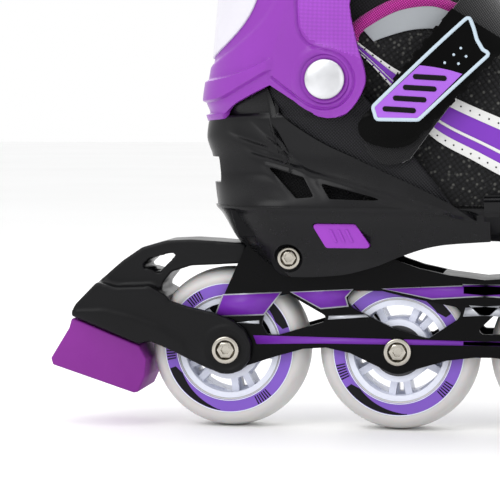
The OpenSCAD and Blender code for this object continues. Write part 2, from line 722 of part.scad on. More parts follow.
pad_screw = [-166.5, 0, 42.6];
pad_tilt = 21.5;
pad_screw_r = 2.5;
pad_well_r = 5.2;
pad_half = 17.5;

module brake_bracket() {
    color("#202024") difference() {
        union() {
            side(fender_outline, -12, 12);
            intersection() {
                side(fender_outline, -arm_out, arm_out);
                translate([-190, -20, 30]) cube([46, 40, 42]);
            }
            both_sides() side(arm_outline, arm_in, arm_out);
        }
        side(rounded(fender_hole, 1), -20, 20);
        rod([axle_x[0], 0, axle_z], axle_r, -30, 30);
        translate(pad_screw) rotate([0, pad_tilt, 0]) {
            translate([0, 0, -10]) cylinder(r = pad_screw_r + 0.1, h = 40, $fn = 32);
            translate([0, 0, 9]) cylinder(r = pad_well_r, h = 30, $fn = 32);
        }
    }
}

module brake_pad() {
    color("#8a3aa0") difference() {
        side(pad_outline, -pad_half, pad_half);
        translate(pad_screw) rotate([0, pad_tilt, 0]) {
            translate([0, 0, -30]) cylinder(r = pad_screw_r + 0.1, h = 40, $fn = 32);
            translate([0, 0, -41]) cylinder(r = pad_well_r - 0.2, h = 30, $fn = 32);
        }
    }
}

module brake_screw() {
    color("silver") translate(pad_screw) rotate([0, pad_tilt, 0]) difference() {
        union() {
            translate([0, 0, -11]) cylinder(r = pad_screw_r, h = 23.5, $fn = 32);
            translate([0, 0, -13.7]) cylinder(r = 4.6, h = 2.7, $fn = 32);
        }
        translate([0, 0, -14]) cylinder(r = 2, h = 2, $fn = 6);
    }
}

module brake_nut() {
    color("silver") translate(pad_screw) rotate([0, pad_tilt, 0]) difference() {
        translate([0, 0, 9]) cylinder(r = 4.6, h = 3, $fn = 6);
        translate([0, 0, 8]) cylinder(r = pad_screw_r + 0.05, h = 6, $fn = 32);
    }
}

// ---- assembly ----

frame();
axle_bolts();
axle_screws();
wheel_spacers();
bearing_inner_races();
mount_bolt(heel_bolt_at, heel_skirt_y - 2.4);  // heel_mount_bolt
mount_nut(heel_bolt_at, heel_skirt_y - 2.4);  // heel_mount_nut
mount_bolt(toe_bolt_at, toe_skirt_y - 2.4);  // toe_mount_bolt
mount_nut(toe_bolt_at, toe_skirt_y - 2.4);  // toe_mount_nut
rear_shell();
ankle_panels();
heel_liner();
instep_upper();
insole();
pivot_posts();
pivot_caps();
brake_bracket();
brake_pad();
brake_screw();
brake_nut();
instep_strap();
strap_pad();
strap_ring();
strap_rivets();
tongue();
size_button();
button_spring();
front_shell();
size_rack();
vamp();
lace_eyelets();
toe_bumper();
cuff_shell();
spine_panel();
cuff_liner();
buckle_base();
buckle_rivets();
ladder_strap();
ladder_rivet();
buckle_lever();
lever_pin();
for (i = [0:3]) {
    tyre(i);
    hub(i);
    bearings(i);
}
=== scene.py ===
import math
import bpy
import bmesh
import numpy as np
from mathutils import Vector, Matrix


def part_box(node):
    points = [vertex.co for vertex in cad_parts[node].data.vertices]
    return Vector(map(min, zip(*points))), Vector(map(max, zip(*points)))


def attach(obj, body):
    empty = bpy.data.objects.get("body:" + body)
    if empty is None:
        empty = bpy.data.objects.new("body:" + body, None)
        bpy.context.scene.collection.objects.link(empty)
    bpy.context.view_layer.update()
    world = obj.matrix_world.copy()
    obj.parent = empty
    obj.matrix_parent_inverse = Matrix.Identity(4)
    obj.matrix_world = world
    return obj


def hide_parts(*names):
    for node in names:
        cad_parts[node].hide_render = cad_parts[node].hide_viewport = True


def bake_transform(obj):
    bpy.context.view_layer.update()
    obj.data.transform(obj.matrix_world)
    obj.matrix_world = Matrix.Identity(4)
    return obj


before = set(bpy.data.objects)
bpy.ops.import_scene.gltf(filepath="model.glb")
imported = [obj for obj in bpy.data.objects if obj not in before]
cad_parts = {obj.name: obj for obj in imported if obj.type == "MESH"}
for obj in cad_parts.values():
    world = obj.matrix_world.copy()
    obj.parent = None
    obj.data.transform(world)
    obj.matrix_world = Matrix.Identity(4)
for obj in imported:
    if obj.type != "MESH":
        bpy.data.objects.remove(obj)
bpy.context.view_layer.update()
mm = 0.001


def centreOf(node):
    low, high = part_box(node)
    return (low + high) / 2 / mm


axles = [centreOf(f"tyre_{i}") for i in range(1, 5)]
wheelRadius = (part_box("tyre_1")[1].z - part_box("tyre_1")[0].z) / 2 / mm
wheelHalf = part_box("tyre_1")[1].y / mm
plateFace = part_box("frame")[1].y / mm  # outer face of the side plates
pivot = centreOf("pivot_posts")
heelBolt = centreOf("heel_mount_bolt")
toeBolt = centreOf("toe_mount_bolt")

# curves and distances


def smoothCurve(points):
    xs, ys = np.array(points, float).T
    steps = np.diff(ys) / np.diff(xs)
    slopes = np.concatenate([steps[:1], np.zeros(len(steps) - 1), steps[-1:]])
    for i in range(1, len(steps)):
        if steps[i - 1] * steps[i] > 0:
            slopes[i] = 2 * steps[i - 1] * steps[i] / (steps[i - 1] + steps[i])

    def at(x):
        x = np.clip(x, xs[0], xs[-1])
        i = np.clip(np.searchsorted(xs, x) - 1, 0, len(xs) - 2)
        h = xs[i + 1] - xs[i]
        s = (x - xs[i]) / h
        return ((2 * s**3 - 3 * s**2 + 1) * ys[i] + (s**3 - 2 * s**2 + s) * h * slopes[i]
                + (3 * s**2 - 2 * s**3) * ys[i + 1] + (s**3 - s**2) * h * slopes[i + 1])
    return at


def smoothPath(points, perSpan=8):
    # a Catmull-Rom line through the points
    p = np.array(points, float)
    p = np.vstack([2 * p[:1] - p[1:2], p, 2 * p[-1:] - p[-2:-1]])
    line = []
    for i in range(1, len(p) - 2):
        for s in np.arange(perSpan) / perSpan:
            line.append(0.5 * (2 * p[i] + (p[i + 1] - p[i - 1]) * s
                               + (2 * p[i - 1] - 5 * p[i] + 4 * p[i + 1] - p[i + 2]) * s**2
                               + (3 * p[i] - p[i - 1] - 3 * p[i + 1] + p[i + 2]) * s**3))
    return np.array(line + [p[-2]])


def arcPoints(centre, radius, start, stop, steps=12):
    angles = np.radians(np.linspace(start, stop, steps + 1))
    return [(centre[0] + radius * math.cos(a), centre[1] + radius * math.sin(a)) for a in angles]


def along(path, share):
    # points at shares 0..1 of a path's length
    path = np.array(path, float)
    reach = np.concatenate([[0], np.cumsum(np.linalg.norm(np.diff(path, axis=0), axis=1))])
    s = np.asarray(share) * reach[-1]
    return np.stack([np.interp(s, reach, path[:, k]) for k in range(path.shape[1])], axis=-1)


def distanceTo(path, x, z):
    # distance to a line in the side view, and which side of it (+1 is left of its direction)
    best, side = np.full(x.shape, 1e9), np.zeros(x.shape)
    for (ax, az), (bx, bz) in zip(path[:-1], path[1:]):
        dx, dz = bx - ax, bz - az
        s = np.clip(((x - ax) * dx + (z - az) * dz) / (dx * dx + dz * dz + 1e-12), 0, 1)
        px, pz = x - ax - s * dx, z - az - s * dz
        d = np.hypot(px, pz)
        side = np.where(d < best, np.sign(dx * pz - dz * px), side)
        best = np.minimum(best, d)
    return best, side


def inside(outline, x, z):
    hit = np.zeros(x.shape, bool)
    for (ax, az), (bx, bz) in zip(outline, np.roll(outline, -1, axis=0)):
        crosses = (az > z) != (bz > z)
        hit ^= crosses & (x < (bx - ax) * (z - az) / (bz - az + 1e-12) + ax)
    return hit


def ease(s):
    s = np.clip(s, 0, 1)
    return s * s * (3 - 2 * s)


def groove(path, x, z, width, depth):
    return depth * ease(1 - distanceTo(path, x, z)[0] / width * 2)


def rounded(points, radius, steps=5):
    # a closed outline with its corners rounded
    p = [Vector(q) for q in points]
    out = []
    for i, b in enumerate(p):
        a, c = p[i - 1], p[(i + 1) % len(p)]
        u, v = (a - b).normalized(), (c - b).normalized()
        half = math.acos(max(-1, min(1, u.dot(v)))) / 2
        cut = min(radius / max(math.tan(half), 1e-3), (a - b).length * 0.45, (c - b).length * 0.45)
        for k in range(steps + 1):
            t = k / steps
            out.append(tuple((1 - t)**2 * (b + u * cut) + 2 * t * (1 - t) * b + t * t * (b + v * cut)))
    return out


# the boot's form: level rings from sole to collar

backX = smoothCurve([(84, -107), (92, -114), (97, -117), (107, -118.5), (118, -119.5), (127, -122),
                     (133, -121.3), (135.4, -120.3), (137, -116.5), (142, -118), (150, -117), (165, -114.5),
                     (187, -112), (230, -110), (285, -109)])
frontX = smoothCurve([(84, 118), (92, 131), (97, 135), (107, 136), (116, 130), (124, 116), (132, 96),
                      (142, 68), (152, 46), (165, 25), (184, 5), (200, -5), (230, -11), (285, -13)])
heelHalf = smoothCurve([(84, 27), (92, 33), (97, 36.5), (107, 37), (118, 37.5), (127, 38.5), (136, 40),
                        (165, 40), (187, 41), (230, 43), (285, 45)])
ballHalf = smoothCurve([(84, 38), (92, 44), (97, 47), (107, 48), (116, 46), (124, 43), (132, 40),
                        (142, 38.5), (152, 39), (165, 40), (187, 40), (230, 41), (285, 43)])


def onForm(angle, z, inset, side=1):
    # angle 0 at the toe and 180 at the heel; side 1 is the inner side of the foot, -1 the outer one
    back, front = backX(z) + inset, frontX(z) - inset
    u = (1 + np.cos(np.radians(angle))) / 2
    x = back + (front - back) * u
    half = heelHalf(z) + (ballHalf(z) - heelHalf(z)) * u * u * (3 - 2 * u) - inset
    y = side * half * np.abs(np.sin(np.radians(angle)))**0.8 + 4 * (np.maximum(0, x - 20) / 115)**2
    return np.stack([x, y, z + 0 * x], axis=-1)


def angleOf(x, z, inset=0.0):
    back, front = backX(z) + inset, frontX(z) - inset
    return np.degrees(np.arccos(np.clip(2 * (x - back) / (front - back) - 1, -1, 1)))


def atSide(x, z, inset, side):
    x, z = np.asarray(x, float), np.asarray(z, float)
    return onForm(angleOf(x, z, inset), z, inset, side)


# mesh helpers, all in millimetres until makePiece


def gridMesh(columns, rows, place, near=None, cuts=0):
    # a grid on the unit square, made finer where near says so, then put in place
    bm = bmesh.new()
    bmesh.ops.create_grid(bm, x_segments=columns, y_segments=rows, size=0.5)
    if near is not None and cuts:
        uv = np.array([(v.co.x + 0.5, v.co.y + 0.5) for v in bm.verts])
        bm.verts.index_update()
        close = near(uv[:, 0], uv[:, 1])
        edges = [e for e in bm.edges if close[e.verts[0].index] and close[e.verts[1].index]]
        bmesh.ops.subdivide_edges(bm, edges=edges, cuts=cuts, use_grid_fill=True)
    uv = np.array([(v.co.x + 0.5, v.co.y + 0.5) for v in bm.verts])
    for v, p in zip(bm.verts, place(uv[:, 0], uv[:, 1])):
        v.co = p
    return bm


def tidyMesh(bm, outwards=None, merge=0.01):
    bmesh.ops.remove_doubles(bm, verts=bm.verts, dist=merge)
    bmesh.ops.dissolve_degenerate(bm, dist=0.001, edges=bm.edges)
    bmesh.ops.recalc_face_normals(bm, faces=bm.faces)
    if outwards is not None:  # an open sheet: its faces point away from a line
        total = sum(f.normal.dot(outwards(f.calc_center_median())) * f.calc_area() for f in bm.faces)
        if total < 0:
            bmesh.ops.reverse_faces(bm, faces=bm.faces)
    return bm


def fromForm(p):
    return Vector((p.x + 40 if abs(p.x + 40) > 60 else 0, p.y * 2, max(0, p.z - 150) * 0.2))


def makePiece(bm, name, materials, thickness=0, bevel=0, flat=False):
    bmesh.ops.scale(bm, vec=(mm, mm, mm), verts=bm.verts)
    mesh = bpy.data.meshes.new(name)
    bm.to_mesh(mesh)
    bm.free()
    piece = bpy.data.objects.new(name, mesh)
    bpy.context.scene.collection.objects.link(piece)
    for m in materials if isinstance(materials, (list, tuple)) else [materials]:
        mesh.materials.append(m)
    mesh.shade_flat() if flat else mesh.shade_smooth()
    if thickness:
        wall = piece.modifiers.new("wall", "SOLIDIFY")
        wall.thickness, wall.offset = thickness * mm, -1
        wall.use_even_offset = False
    if bevel:
        addBevel(piece, bevel)
    return piece


def addBevel(piece, width, limit=35):
    edge = piece.modifiers.new("edge", "BEVEL")
    edge.width, edge.segments, edge.limit_method = width * mm, 2, "ANGLE"
    edge.angle_limit = math.radians(limit)
    edge.harden_normals = False


def applied(piece):
    # the piece with its modifiers made real
    deps = bpy.context.evaluated_depsgraph_get()
    mesh = bpy.data.meshes.new_from_object(piece.evaluated_get(deps))
    mesh.name = piece.name
    piece.modifiers.clear()
    piece.data = mesh
    return piece


def cutOut(piece, cutters, solver="EXACT"):
    for c in cutters:
        hole = piece.modifiers.new("hole", "BOOLEAN")
        hole.object, hole.operation, hole.solver = c, "DIFFERENCE", solver
    applied(piece)
    for c in cutters:
        bpy.data.objects.remove(c)
    piece.data.shade_smooth()
    return piece


def sidePrism(outline, y0, y1):
    # a side outline given its thickness across
    bm = bmesh.new()
    face = bm.faces.new([bm.verts.new((x, y0, z)) for x, z in outline])
    grown = bmesh.ops.extrude_face_region(bm, geom=[face])
    moved = [v for v in grown["geom"] if isinstance(v, bmesh.types.BMVert)]
    bmesh.ops.translate(bm, vec=(0, y1 - y0, 0), verts=moved)
    bmesh.ops.recalc_face_normals(bm, faces=bm.faces)
    return bm


def lathe(profile, centre, direction, steps=64, closed=False):
    # profile points are (radius, distance along the axis)
    bm = bmesh.new()
    verts = [bm.verts.new((r, 0, h)) for r, h in profile]
    edges = [bm.edges.new(pair) for pair in zip(verts[:-1], verts[1:])]
    if closed:
        edges.append(bm.edges.new((verts[-1], verts[0])))
    bmesh.ops.spin(bm, geom=verts + edges, cent=(0, 0, 0), axis=(0, 0, 1), dvec=(0, 0, 0), angle=math.tau,
                   steps=steps, use_merge=True, use_duplicate=False)
    bmesh.ops.remove_doubles(bm, verts=bm.verts, dist=0.001)
    bmesh.ops.recalc_face_normals(bm, faces=bm.faces)
    turn = Vector((0, 0, 1)).rotation_difference(Vector(direction).normalized()).to_matrix().to_4x4()
    bmesh.ops.transform(bm, matrix=Matrix.Translation(Vector(centre)) @ turn, verts=bm.verts)
    return bm


def joined(*parts):
    whole = bmesh.new()
    for part in parts:
        mesh = bpy.data.meshes.new("part")
        part.to_mesh(mesh)
        part.free()
        whole.from_mesh(mesh)
        bpy.data.meshes.remove(mesh)
    return whole


def twoSides(build):
    return joined(build(-1), build(1))


def tube(path, radius, name, material):
    # a round cord along points, as a mesh
    curve = bpy.data.curves.new(name, "CURVE")
    curve.dimensions, curve.bevel_depth, curve.bevel_resolution = "3D", radius * mm, 3
    curve.use_fill_caps = True
    line = curve.splines.new("POLY")
    line.points.add(len(path) - 1)
    for point, p in zip(line.points, path):
        point.co = (*(c * mm for c in p), 1)
    holder = bpy.data.objects.new(name + "Line", curve)
    bpy.context.scene.collection.objects.link(holder)
    mesh = bpy.data.meshes.new_from_object(holder.evaluated_get(bpy.context.evaluated_depsgraph_get()))
    bpy.data.objects.remove(holder)
    mesh.name = name
    mesh.materials.clear()
    mesh.materials.append(material)
    mesh.shade_smooth()
    piece = bpy.data.objects.new(name, mesh)
    bpy.context.scene.collection.objects.link(piece)
    return piece


def finishPiece(piece, body, stands=()):
    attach(piece, body)
    if stands:
        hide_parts(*stands)
    return piece


# materials


def newMaterial(name, roughness, metallic=0.0, **sockets):
    m = bpy.data.materials.new(name)
    m.use_nodes = True
    tree = m.node_tree
    shader = tree.nodes["Principled BSDF"]
    shader.inputs["Roughness"].default_value = roughness
    shader.inputs["Metallic"].default_value = metallic
    shader.inputs["Specular IOR Level"].default_value = 0.3
    for key, value in sockets.items():
        shader.inputs[key.replace("_", " ")].default_value = value
    place = tree.nodes.new("ShaderNodeTexCoord")
    return m, tree, shader, place.outputs["Object"]


def hexColour(code, factor=1.0):
    parts = [int(code[i:i + 2], 16) / 255 for i in (0, 2, 4)]
    return (*[(c / 12.92 if c <= 0.04045 else ((c + 0.055) / 1.055)**2.4) * factor for c in parts], 1)


def noise(tree, where, scale, detail=4, rough=0.5):
    n = tree.nodes.new("ShaderNodeTexNoise")
    n.inputs["Scale"].default_value, n.inputs["Detail"].default_value = scale, detail
    n.inputs["Roughness"].default_value = rough
    tree.links.new(where, n.inputs["Vector"])
    return n.outputs["Fac"]


def ramp(tree, fac, *stops):
    r = tree.nodes.new("ShaderNodeValToRGB")
    while len(r.color_ramp.elements) < len(stops):
        r.color_ramp.elements.new(0.5)
    for e, (at, colour) in zip(r.color_ramp.elements, stops):
        e.position, e.color = at, colour if hasattr(colour, "__len__") else (colour, colour, colour, 1)
    tree.links.new(fac, r.inputs["Fac"])
    return r.outputs["Color"]


def bumpFrom(tree, height, shader, strength, distance, under=None):
    b = tree.nodes.new("ShaderNodeBump")
    b.inputs["Strength"].default_value, b.inputs["Distance"].default_value = strength, distance * mm
    tree.links.new(height, b.inputs["Height"])
    if under is not None:
        tree.links.new(under, b.inputs["Normal"])
    tree.links.new(b.outputs["Normal"], shader.inputs["Normal"])
    return b.outputs["Normal"]


def mathNode(tree, kind, a, b=None, c=None):
    n = tree.nodes.new("ShaderNodeMath")
    n.operation = kind
    for i, value in enumerate((a, b, c)):
        if value is None:
            continue
        if isinstance(value, (int, float)):
            n.inputs[i].default_value = value
        else:
            tree.links.new(value, n.inputs[i])
    return n.outputs[0]


def moulded(name, code, roughness, grain=0.02, grainScale=900, patch=0.12, spread=0.12, metallic=0.0,
            **sockets):
    # moulded plastic or rubber: slight colour drift, uneven polish and a fine grain
    m, tree, shader, where = newMaterial(name, roughness, metallic, **sockets)
    drift = noise(tree, where, 28, 5)
    tree.links.new(ramp(tree, drift, (0.3, hexColour(code, 1 - patch)), (0.7, hexColour(code, 1 + patch))),
                   shader.inputs["Base Color"])
    polish = noise(tree, where, 75, 6, 0.6)
    rough = ramp(tree, polish, (0.25, max(0.03, roughness - spread)), (0.8, min(1, roughness + spread)))
    tree.links.new(rough, shader.inputs["Roughness"])
    under = bumpFrom(tree, noise(tree, where, 60, 2), shader, 0.12, 0.5)
    bumpFrom(tree, noise(tree, where, grainScale, 2), shader, 0.5, grain, under)
    return m


def latticeHeight(tree, where, pitch, tilt):
    # little square pyramids in the side plane
    turn = tree.nodes.new("ShaderNodeMapping")
    turn.inputs["Rotation"].default_value = (0, tilt, 0)
    tree.links.new(where, turn.inputs["Vector"])
    split = tree.nodes.new("ShaderNodeSeparateXYZ")
    tree.links.new(turn.outputs["Vector"], split.inputs[0])
    waves = [mathNode(tree, "SINE", mathNode(tree, "MULTIPLY", split.outputs[a], math.tau / (pitch * mm)))
             for a in ("X", "Z")]
    return mathNode(tree, "MULTIPLY", *[mathNode(tree, "ABSOLUTE", w) for w in waves])


def textured(name, code, roughness, pitch, tilt, depth, peakHighlight=1.6, **sockets):
    m, tree, shader, where = newMaterial(name, roughness, **sockets)
    height = latticeHeight(tree, where, pitch * 2, tilt)
    drift = noise(tree, where, 40, 4)
    # painted shade and painted highlight: the lattice's hollows are painted darker and its peaks lighter, as
    # light would fall on the relief
    shadedTint = ramp(tree, height, (0.1, hexColour(code, 0.45)), (0.75, hexColour(code, peakHighlight)))
    mix = tree.nodes.new("ShaderNodeMix")
    mix.data_type, mix.blend_type = "RGBA", "MULTIPLY"
    mix.inputs["Factor"].default_value = 0.4
    tree.links.new(shadedTint, mix.inputs["A"])
    tree.links.new(ramp(tree, drift, (0.3, 0.6), (0.7, 1.0)), mix.inputs["B"])
    tree.links.new(mix.outputs["Result"], shader.inputs["Base Color"])
    tree.links.new(ramp(tree, drift, (0.2, roughness - 0.1), (0.8, roughness + 0.12)),
                   shader.inputs["Roughness"])
    bumpFrom(tree, height, shader, 0.8, depth)
    return m


def woven(name, code, pitch, speck=None, depth=0.35, roughness=0.85, sheen=0.3):
    # knitted mesh: staggered cells, with a lighter thread here and there
    m, tree, shader, where = newMaterial(name, roughness, Sheen_Weight=sheen, Specular_IOR_Level=0.12)
    height = latticeHeight(tree, where, pitch * 2, 0.62)
    fibre = noise(tree, where, 1400, 3)
    # painted shade and painted highlight: each cell is painted dark in its dips and light on its raised threads,
    # as light would fall on the knit
    base = ramp(tree, height, (0.05, hexColour(code, 0.3)), (0.8, hexColour(code, 1.5)))
    if speck:
        wave = tree.nodes.new("ShaderNodeTexVoronoi")
        wave.inputs["Scale"].default_value = 1 / (pitch * 1.25 * mm)
        tree.links.new(where, wave.inputs["Vector"])
        spot = ramp(tree, wave.outputs["Distance"], (0.12, 1.0), (0.34, 0.0))
        pick = mathNode(tree, "MULTIPLY", spot, mathNode(tree, "MULTIPLY", noise(tree, where, 420, 2), 1.1))
        mix = tree.nodes.new("ShaderNodeMix")
        mix.data_type = "RGBA"
        tree.links.new(pick, mix.inputs["Factor"])
        tree.links.new(base, mix.inputs["A"])
        mix.inputs["B"].default_value = hexColour(speck)
        base = mix.outputs["Result"]
    tree.links.new(base, shader.inputs["Base Color"])
    tree.links.new(ramp(tree, fibre, (0.2, roughness - 0.12), (0.8, min(1, roughness + 0.1))),
                   shader.inputs["Roughness"])
    under = bumpFrom(tree, height, shader, 0.9, depth)
    bumpFrom(tree, fibre, shader, 0.4, 0.06, under)
    return m


def metal(name, code, roughness, brushed=0.0, scale=500):
    m, tree, shader, where = newMaterial(name, roughness, 1.0)
    drift = noise(tree, where, 90, 5)
    tree.links.new(ramp(tree, drift, (0.3, hexColour(code, 0.86)), (0.7, hexColour(code, 1.06))),
                   shader.inputs["Base Color"])
    tree.links.new(ramp(tree, noise(tree, where, scale, 4), (0.2, max(0.05, roughness - 0.08)),
                        (0.8, roughness + 0.1)), shader.inputs["Roughness"])
    bumpFrom(tree, noise(tree, where, scale, 3), shader, 0.25, 0.02 + brushed)
    return m


blackGloss = moulded("shellBlack", "0f0f11", 0.3, 0.02, 1100, 0.2, 0.09, Specular_IOR_Level=0.2)
blackSatin = moulded("bracketBlack", "0a0a0c", 0.36, 0.03, 1000, 0.2, 0.08, Specular_IOR_Level=0.17)
blackPaint = moulded("framePaint", "060607", 0.32, 0.02, 1300, 0.15, 0.08, Specular_IOR_Level=0.08)
blackRubber = moulded("strapRubber", "040404", 0.27, 0.03, 700, 0.2, 0.1, Specular_IOR_Level=0.05)
blackGrid = textured("panelGrid", "1b1b1e", 0.5, 1.0, 0.72, 0.22, 1.6, Specular_IOR_Level=0.15)
blackMatte = moulded("darkPlastic", "0d0d0f", 0.5, 0.04, 800, 0.2, 0.1, Specular_IOR_Level=0.1)
purpleSatin = moulded("cuffPurple", "8431a3", 0.33, 0.015, 1200, 0.05, 0.07, Coat_Weight=0.08,
                      Coat_Roughness=0.25)
purpleGrid = textured("cuffGrid", "a64acb", 0.38, 0.55, 0.0, 0.05, 1.2)
buttonPurple = moulded("buttonPurple", "8e36af", 0.36, 0.02, 1200, 0.05, 0.06)
padPurple = moulded("brakePad", "761f82", 0.62, 0.06, 600, 0.08, 0.12)
printPurple = moulded("printPurple", "7852b7", 0.4, 0.01, 1200, 0.05, 0.06)
framePurple = moulded("framePurple", "6a269d", 0.36, 0.01, 1200, 0.06, 0.06)
strapPurple = moulded("strapPurple", "9b59cb", 0.42, 0.02, 1200, 0.05, 0.06)
paleEdge = moulded("paleEdge", "b4c4d0", 0.45, 0.02, 1200, 0.04, 0.06)
silverPrint = moulded("silverPrint", "b9bcc2", 0.35, 0.01, 1200, 0.05, 0.06, 0.6)
inkBlack = moulded("inkBlack", "0d0c11", 0.42, 0.01, 1200, 0.1, 0.06, Specular_IOR_Level=0.15)
spineWhite = moulded("spineWhite", "d3d1d9", 0.38, 0.02, 1200, 0.03, 0.06)
urethane = moulded("urethane", "c4c2c1", 0.36, 0.02, 900, 0.03, 0.1, Subsurface_Weight=0.25,
                   Subsurface_Scale=0.002)
hubWhite = moulded("hubWhite", "dcdfec", 0.3, 0.01, 900, 0.03, 0.07)
nickel = metal("nickel", "b8b3a9", 0.22)
darkSteel = metal("darkSteel", "4a4a4c", 0.38)
capMetal = metal("capMetal", "d6d7da", 0.36, 0.01, 700)
meshBlack = woven("airMesh", "101012", 1.9, "5d5d59")
linerCloth = woven("linerCloth", "131315", 1.1, None, 0.2)
webbing = woven("webbing", "141416", 0.8, None, 0.2)
leatherGrey = moulded("leatherGrey", "92969a", 0.6, 0.12, 420, 0.06, 0.1)
bandWhite = moulded("bandWhite", "cfcfce", 0.55, 0.1, 500, 0.05, 0.1)
bandPurple = moulded("bandPurple", "6e2ca6", 0.45, 0.04, 700, 0.1, 0.08)
print("materials ready")

# camera, lights and floor

view = {"eye": (44.5, -900, 136.7), "aim": (-103.6, 0, 77), "lens": 149.8,
        "world": 1.0, "key": 6, "top": 4.5, "fill": 1.5, "back": 3}


def lookingAt(thing, eye, aim):
    thing.location = Vector(eye) * mm
    thing.rotation_euler = (Vector(aim) - Vector(eye)).to_track_quat("-Z", "Y").to_euler()
    bpy.context.scene.collection.objects.link(thing)
    return thing


camera = bpy.data.objects.new("camera", bpy.data.cameras.new("camera"))
camera.data.lens, camera.data.sensor_width = view["lens"], 36
lookingAt(camera, view["eye"], view["aim"])
bpy.context.scene.camera = camera


def softBox(name, eye, aim, power, width, height):
    lamp = bpy.data.lights.new(name, "AREA")
    lamp.shape, lamp.size, lamp.size_y, lamp.energy = "RECTANGLE", width, height, power
    return lookingAt(bpy.data.objects.new(name, lamp), eye, aim)


softBox("keyLight", (-700, -900, 900), (-40, 0, 90), view["key"], 0.8, 0.8)
softBox("topLight", (60, -100, 1200), (0, 0, 90), view["top"], 1.2, 0.7)
softBox("fillLight", (900, -900, 350), (0, 0, 100), view["fill"], 0.7, 0.9)
softBox("backLight", (-300, 1000, 700), (-40, 0, 100), view["back"], 1.2, 0.8)
sky = bpy.data.worlds.new("sky")
sky.use_nodes = True
sky.node_tree.nodes["Background"].inputs["Color"].default_value = (1, 1, 1, 1)
sky.node_tree.nodes["Background"].inputs["Strength"].default_value = view["world"]
bpy.context.scene.world = sky
bpy.context.scene.view_settings.view_transform = "Standard"

floorBm = bmesh.new()
bmesh.ops.create_grid(floorBm, x_segments=2, y_segments=2, size=9000)
floorPaint, floorTree, floorShader, floorWhere = newMaterial("floorPaint", 0.6)
floorTree.links.new(ramp(floorTree, noise(floorTree, floorWhere, 2), (0.3, (0.93, 0.93, 0.93, 1)),
                         (0.7, (0.96, 0.96, 0.96, 1))), floorShader.inputs["Base Color"])
floor = makePiece(floorBm, "floor", floorPaint, flat=True)
print("stage ready")

# wheels

wheel = {"hub": 22, "printInner": 22.3, "printOuter": 29.6, "sideY": 11.55, "crown": 6,
         "turns": (0, 16, 30, 52)}


def ringSector(inner, outer, start, stop, y, centre, steps=24):
    # a flat printed mark on a wheel's side, angles in degrees counted from the toe upwards
    bm = bmesh.new()
    turn = math.radians(start)
    verts = [bm.verts.new((r * math.cos(turn), y, r * math.sin(turn))) for r in (inner, outer)]
    edge = bm.edges.new(verts)
    full = abs(stop - start) >= 360
    bmesh.ops.spin(bm, geom=verts + [edge], cent=(0, 0, 0), axis=(0, -1, 0), dvec=(0, 0, 0),
                   angle=math.radians(stop - start), steps=steps, use_merge=full, use_duplicate=False)
    bmesh.ops.translate(bm, vec=(centre.x, 0, centre.z), verts=bm.verts)
    bmesh.ops.recalc_face_normals(bm, faces=bm.faces)
    if sum(f.normal.y for f in bm.faces) * y < 0:
        bmesh.ops.reverse_faces(bm, faces=bm.faces)
    return bm


def crescentMark(inner, outer, start, stop, y, centre, steps=40):
    # a mark that hugs the outer line and thins out to its far end
    bm = bmesh.new()
    verts = []
    for k in range(steps + 1):
        share = k / steps
        turn = math.radians(start + (stop - start) * share)
        low = outer - (outer - inner) * max(0.04, 1 - share)**0.8 * min(1, 0.55 + 3 * share)
        verts.append([bm.verts.new((centre.x + r * math.cos(turn), y, centre.z + r * math.sin(turn)))
                      for r in (low, outer)])
    for one, two in zip(verts[:-1], verts[1:]):
        bm.faces.new((one[0], one[1], two[1], two[0]))
    if sum(f.normal.y for f in bm.faces) * y < 0:
        bmesh.ops.reverse_faces(bm, faces=bm.faces)
    return bm


def makeTyre(i, centre):
    half, r = wheelHalf, wheelRadius
    shoulder = r - wheel["crown"]
    crown = [(shoulder + 0.6 + (wheel["crown"] - 0.6) * math.sin(a), (half - 0.15) * math.cos(a))
             for a in np.linspace(0.12, math.pi - 0.12, 21)]
    inner = wheel["hub"] + 0.05
    lip = [(inner, half - 1.1), (inner + 0.5, half - 0.45), (shoulder - 0.6, half - 0.42),
           (shoulder, half - 0.12)]
    profile = lip + crown + [(a, -b) for a, b in reversed(lip)] + [(inner, 0)]
    tyre = makePiece(lathe(profile, centre, (0, 1, 0), 128, closed=True), f"tyre{i}", urethane)
    finishPiece(tyre, f"wheel_{i}", [f"tyre_{i}"])
    turn = wheel["turns"][i - 1]
    marks, thin = {"purple": [], "ink": [], "pale": []}, 0.06
    for side in (-1, 1):
        y = side * (half - 0.42 + thin)
        inner, outer = wheel["printInner"] + 0.4, wheel["printOuter"] - 1.3
        marks["purple"].append(ringSector(inner, outer, 0, 360, y, centre, 96))
        for start, stop in ((200, 262), (20, 82)):
            marks["ink"].append(crescentMark(inner + 0.2, outer - 0.5, start + turn, stop + turn,
                                             y + side * thin, centre))
        for group in (118, 178, 298, 358):  # hatch bars
            for k in range(6):
                marks["ink"].append(ringSector(inner + 1.2, outer - 0.5, group + k * 2.6 + turn,
                                               group + k * 2.6 + 1.3 + turn, y + side * thin, centre, 2))
        marks["pale"].append(ringSector(inner + 0.15, inner + 0.5, 0, 360, y + side * thin * 4.5, centre, 96))
        marks["pale"].append(ringSector(outer - 0.35, outer, 0, 360, y + side * thin, centre, 96))
    for key, paint in (("purple", printPurple), ("ink", inkBlack), ("pale", hubWhite)):
        finishPiece(makePiece(joined(*marks[key]), f"{key}Print{i}", paint), f"wheel_{i}")


for i, centre in enumerate(axles, 1):
    makeTyre(i, centre)
for i in range(1, 5):
    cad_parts[f"hub_{i}"].data.materials.clear()
    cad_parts[f"hub_{i}"].data.materials.append(hubWhite)
    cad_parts[f"bearings_{i}"].data.materials.clear()
    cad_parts[f"bearings_{i}"].data.materials.append(darkSteel)
print("wheels ready")

# bolts

bolt = {"head": 6, "thick": 2.4, "socket": 2.6, "ring": 4.1}


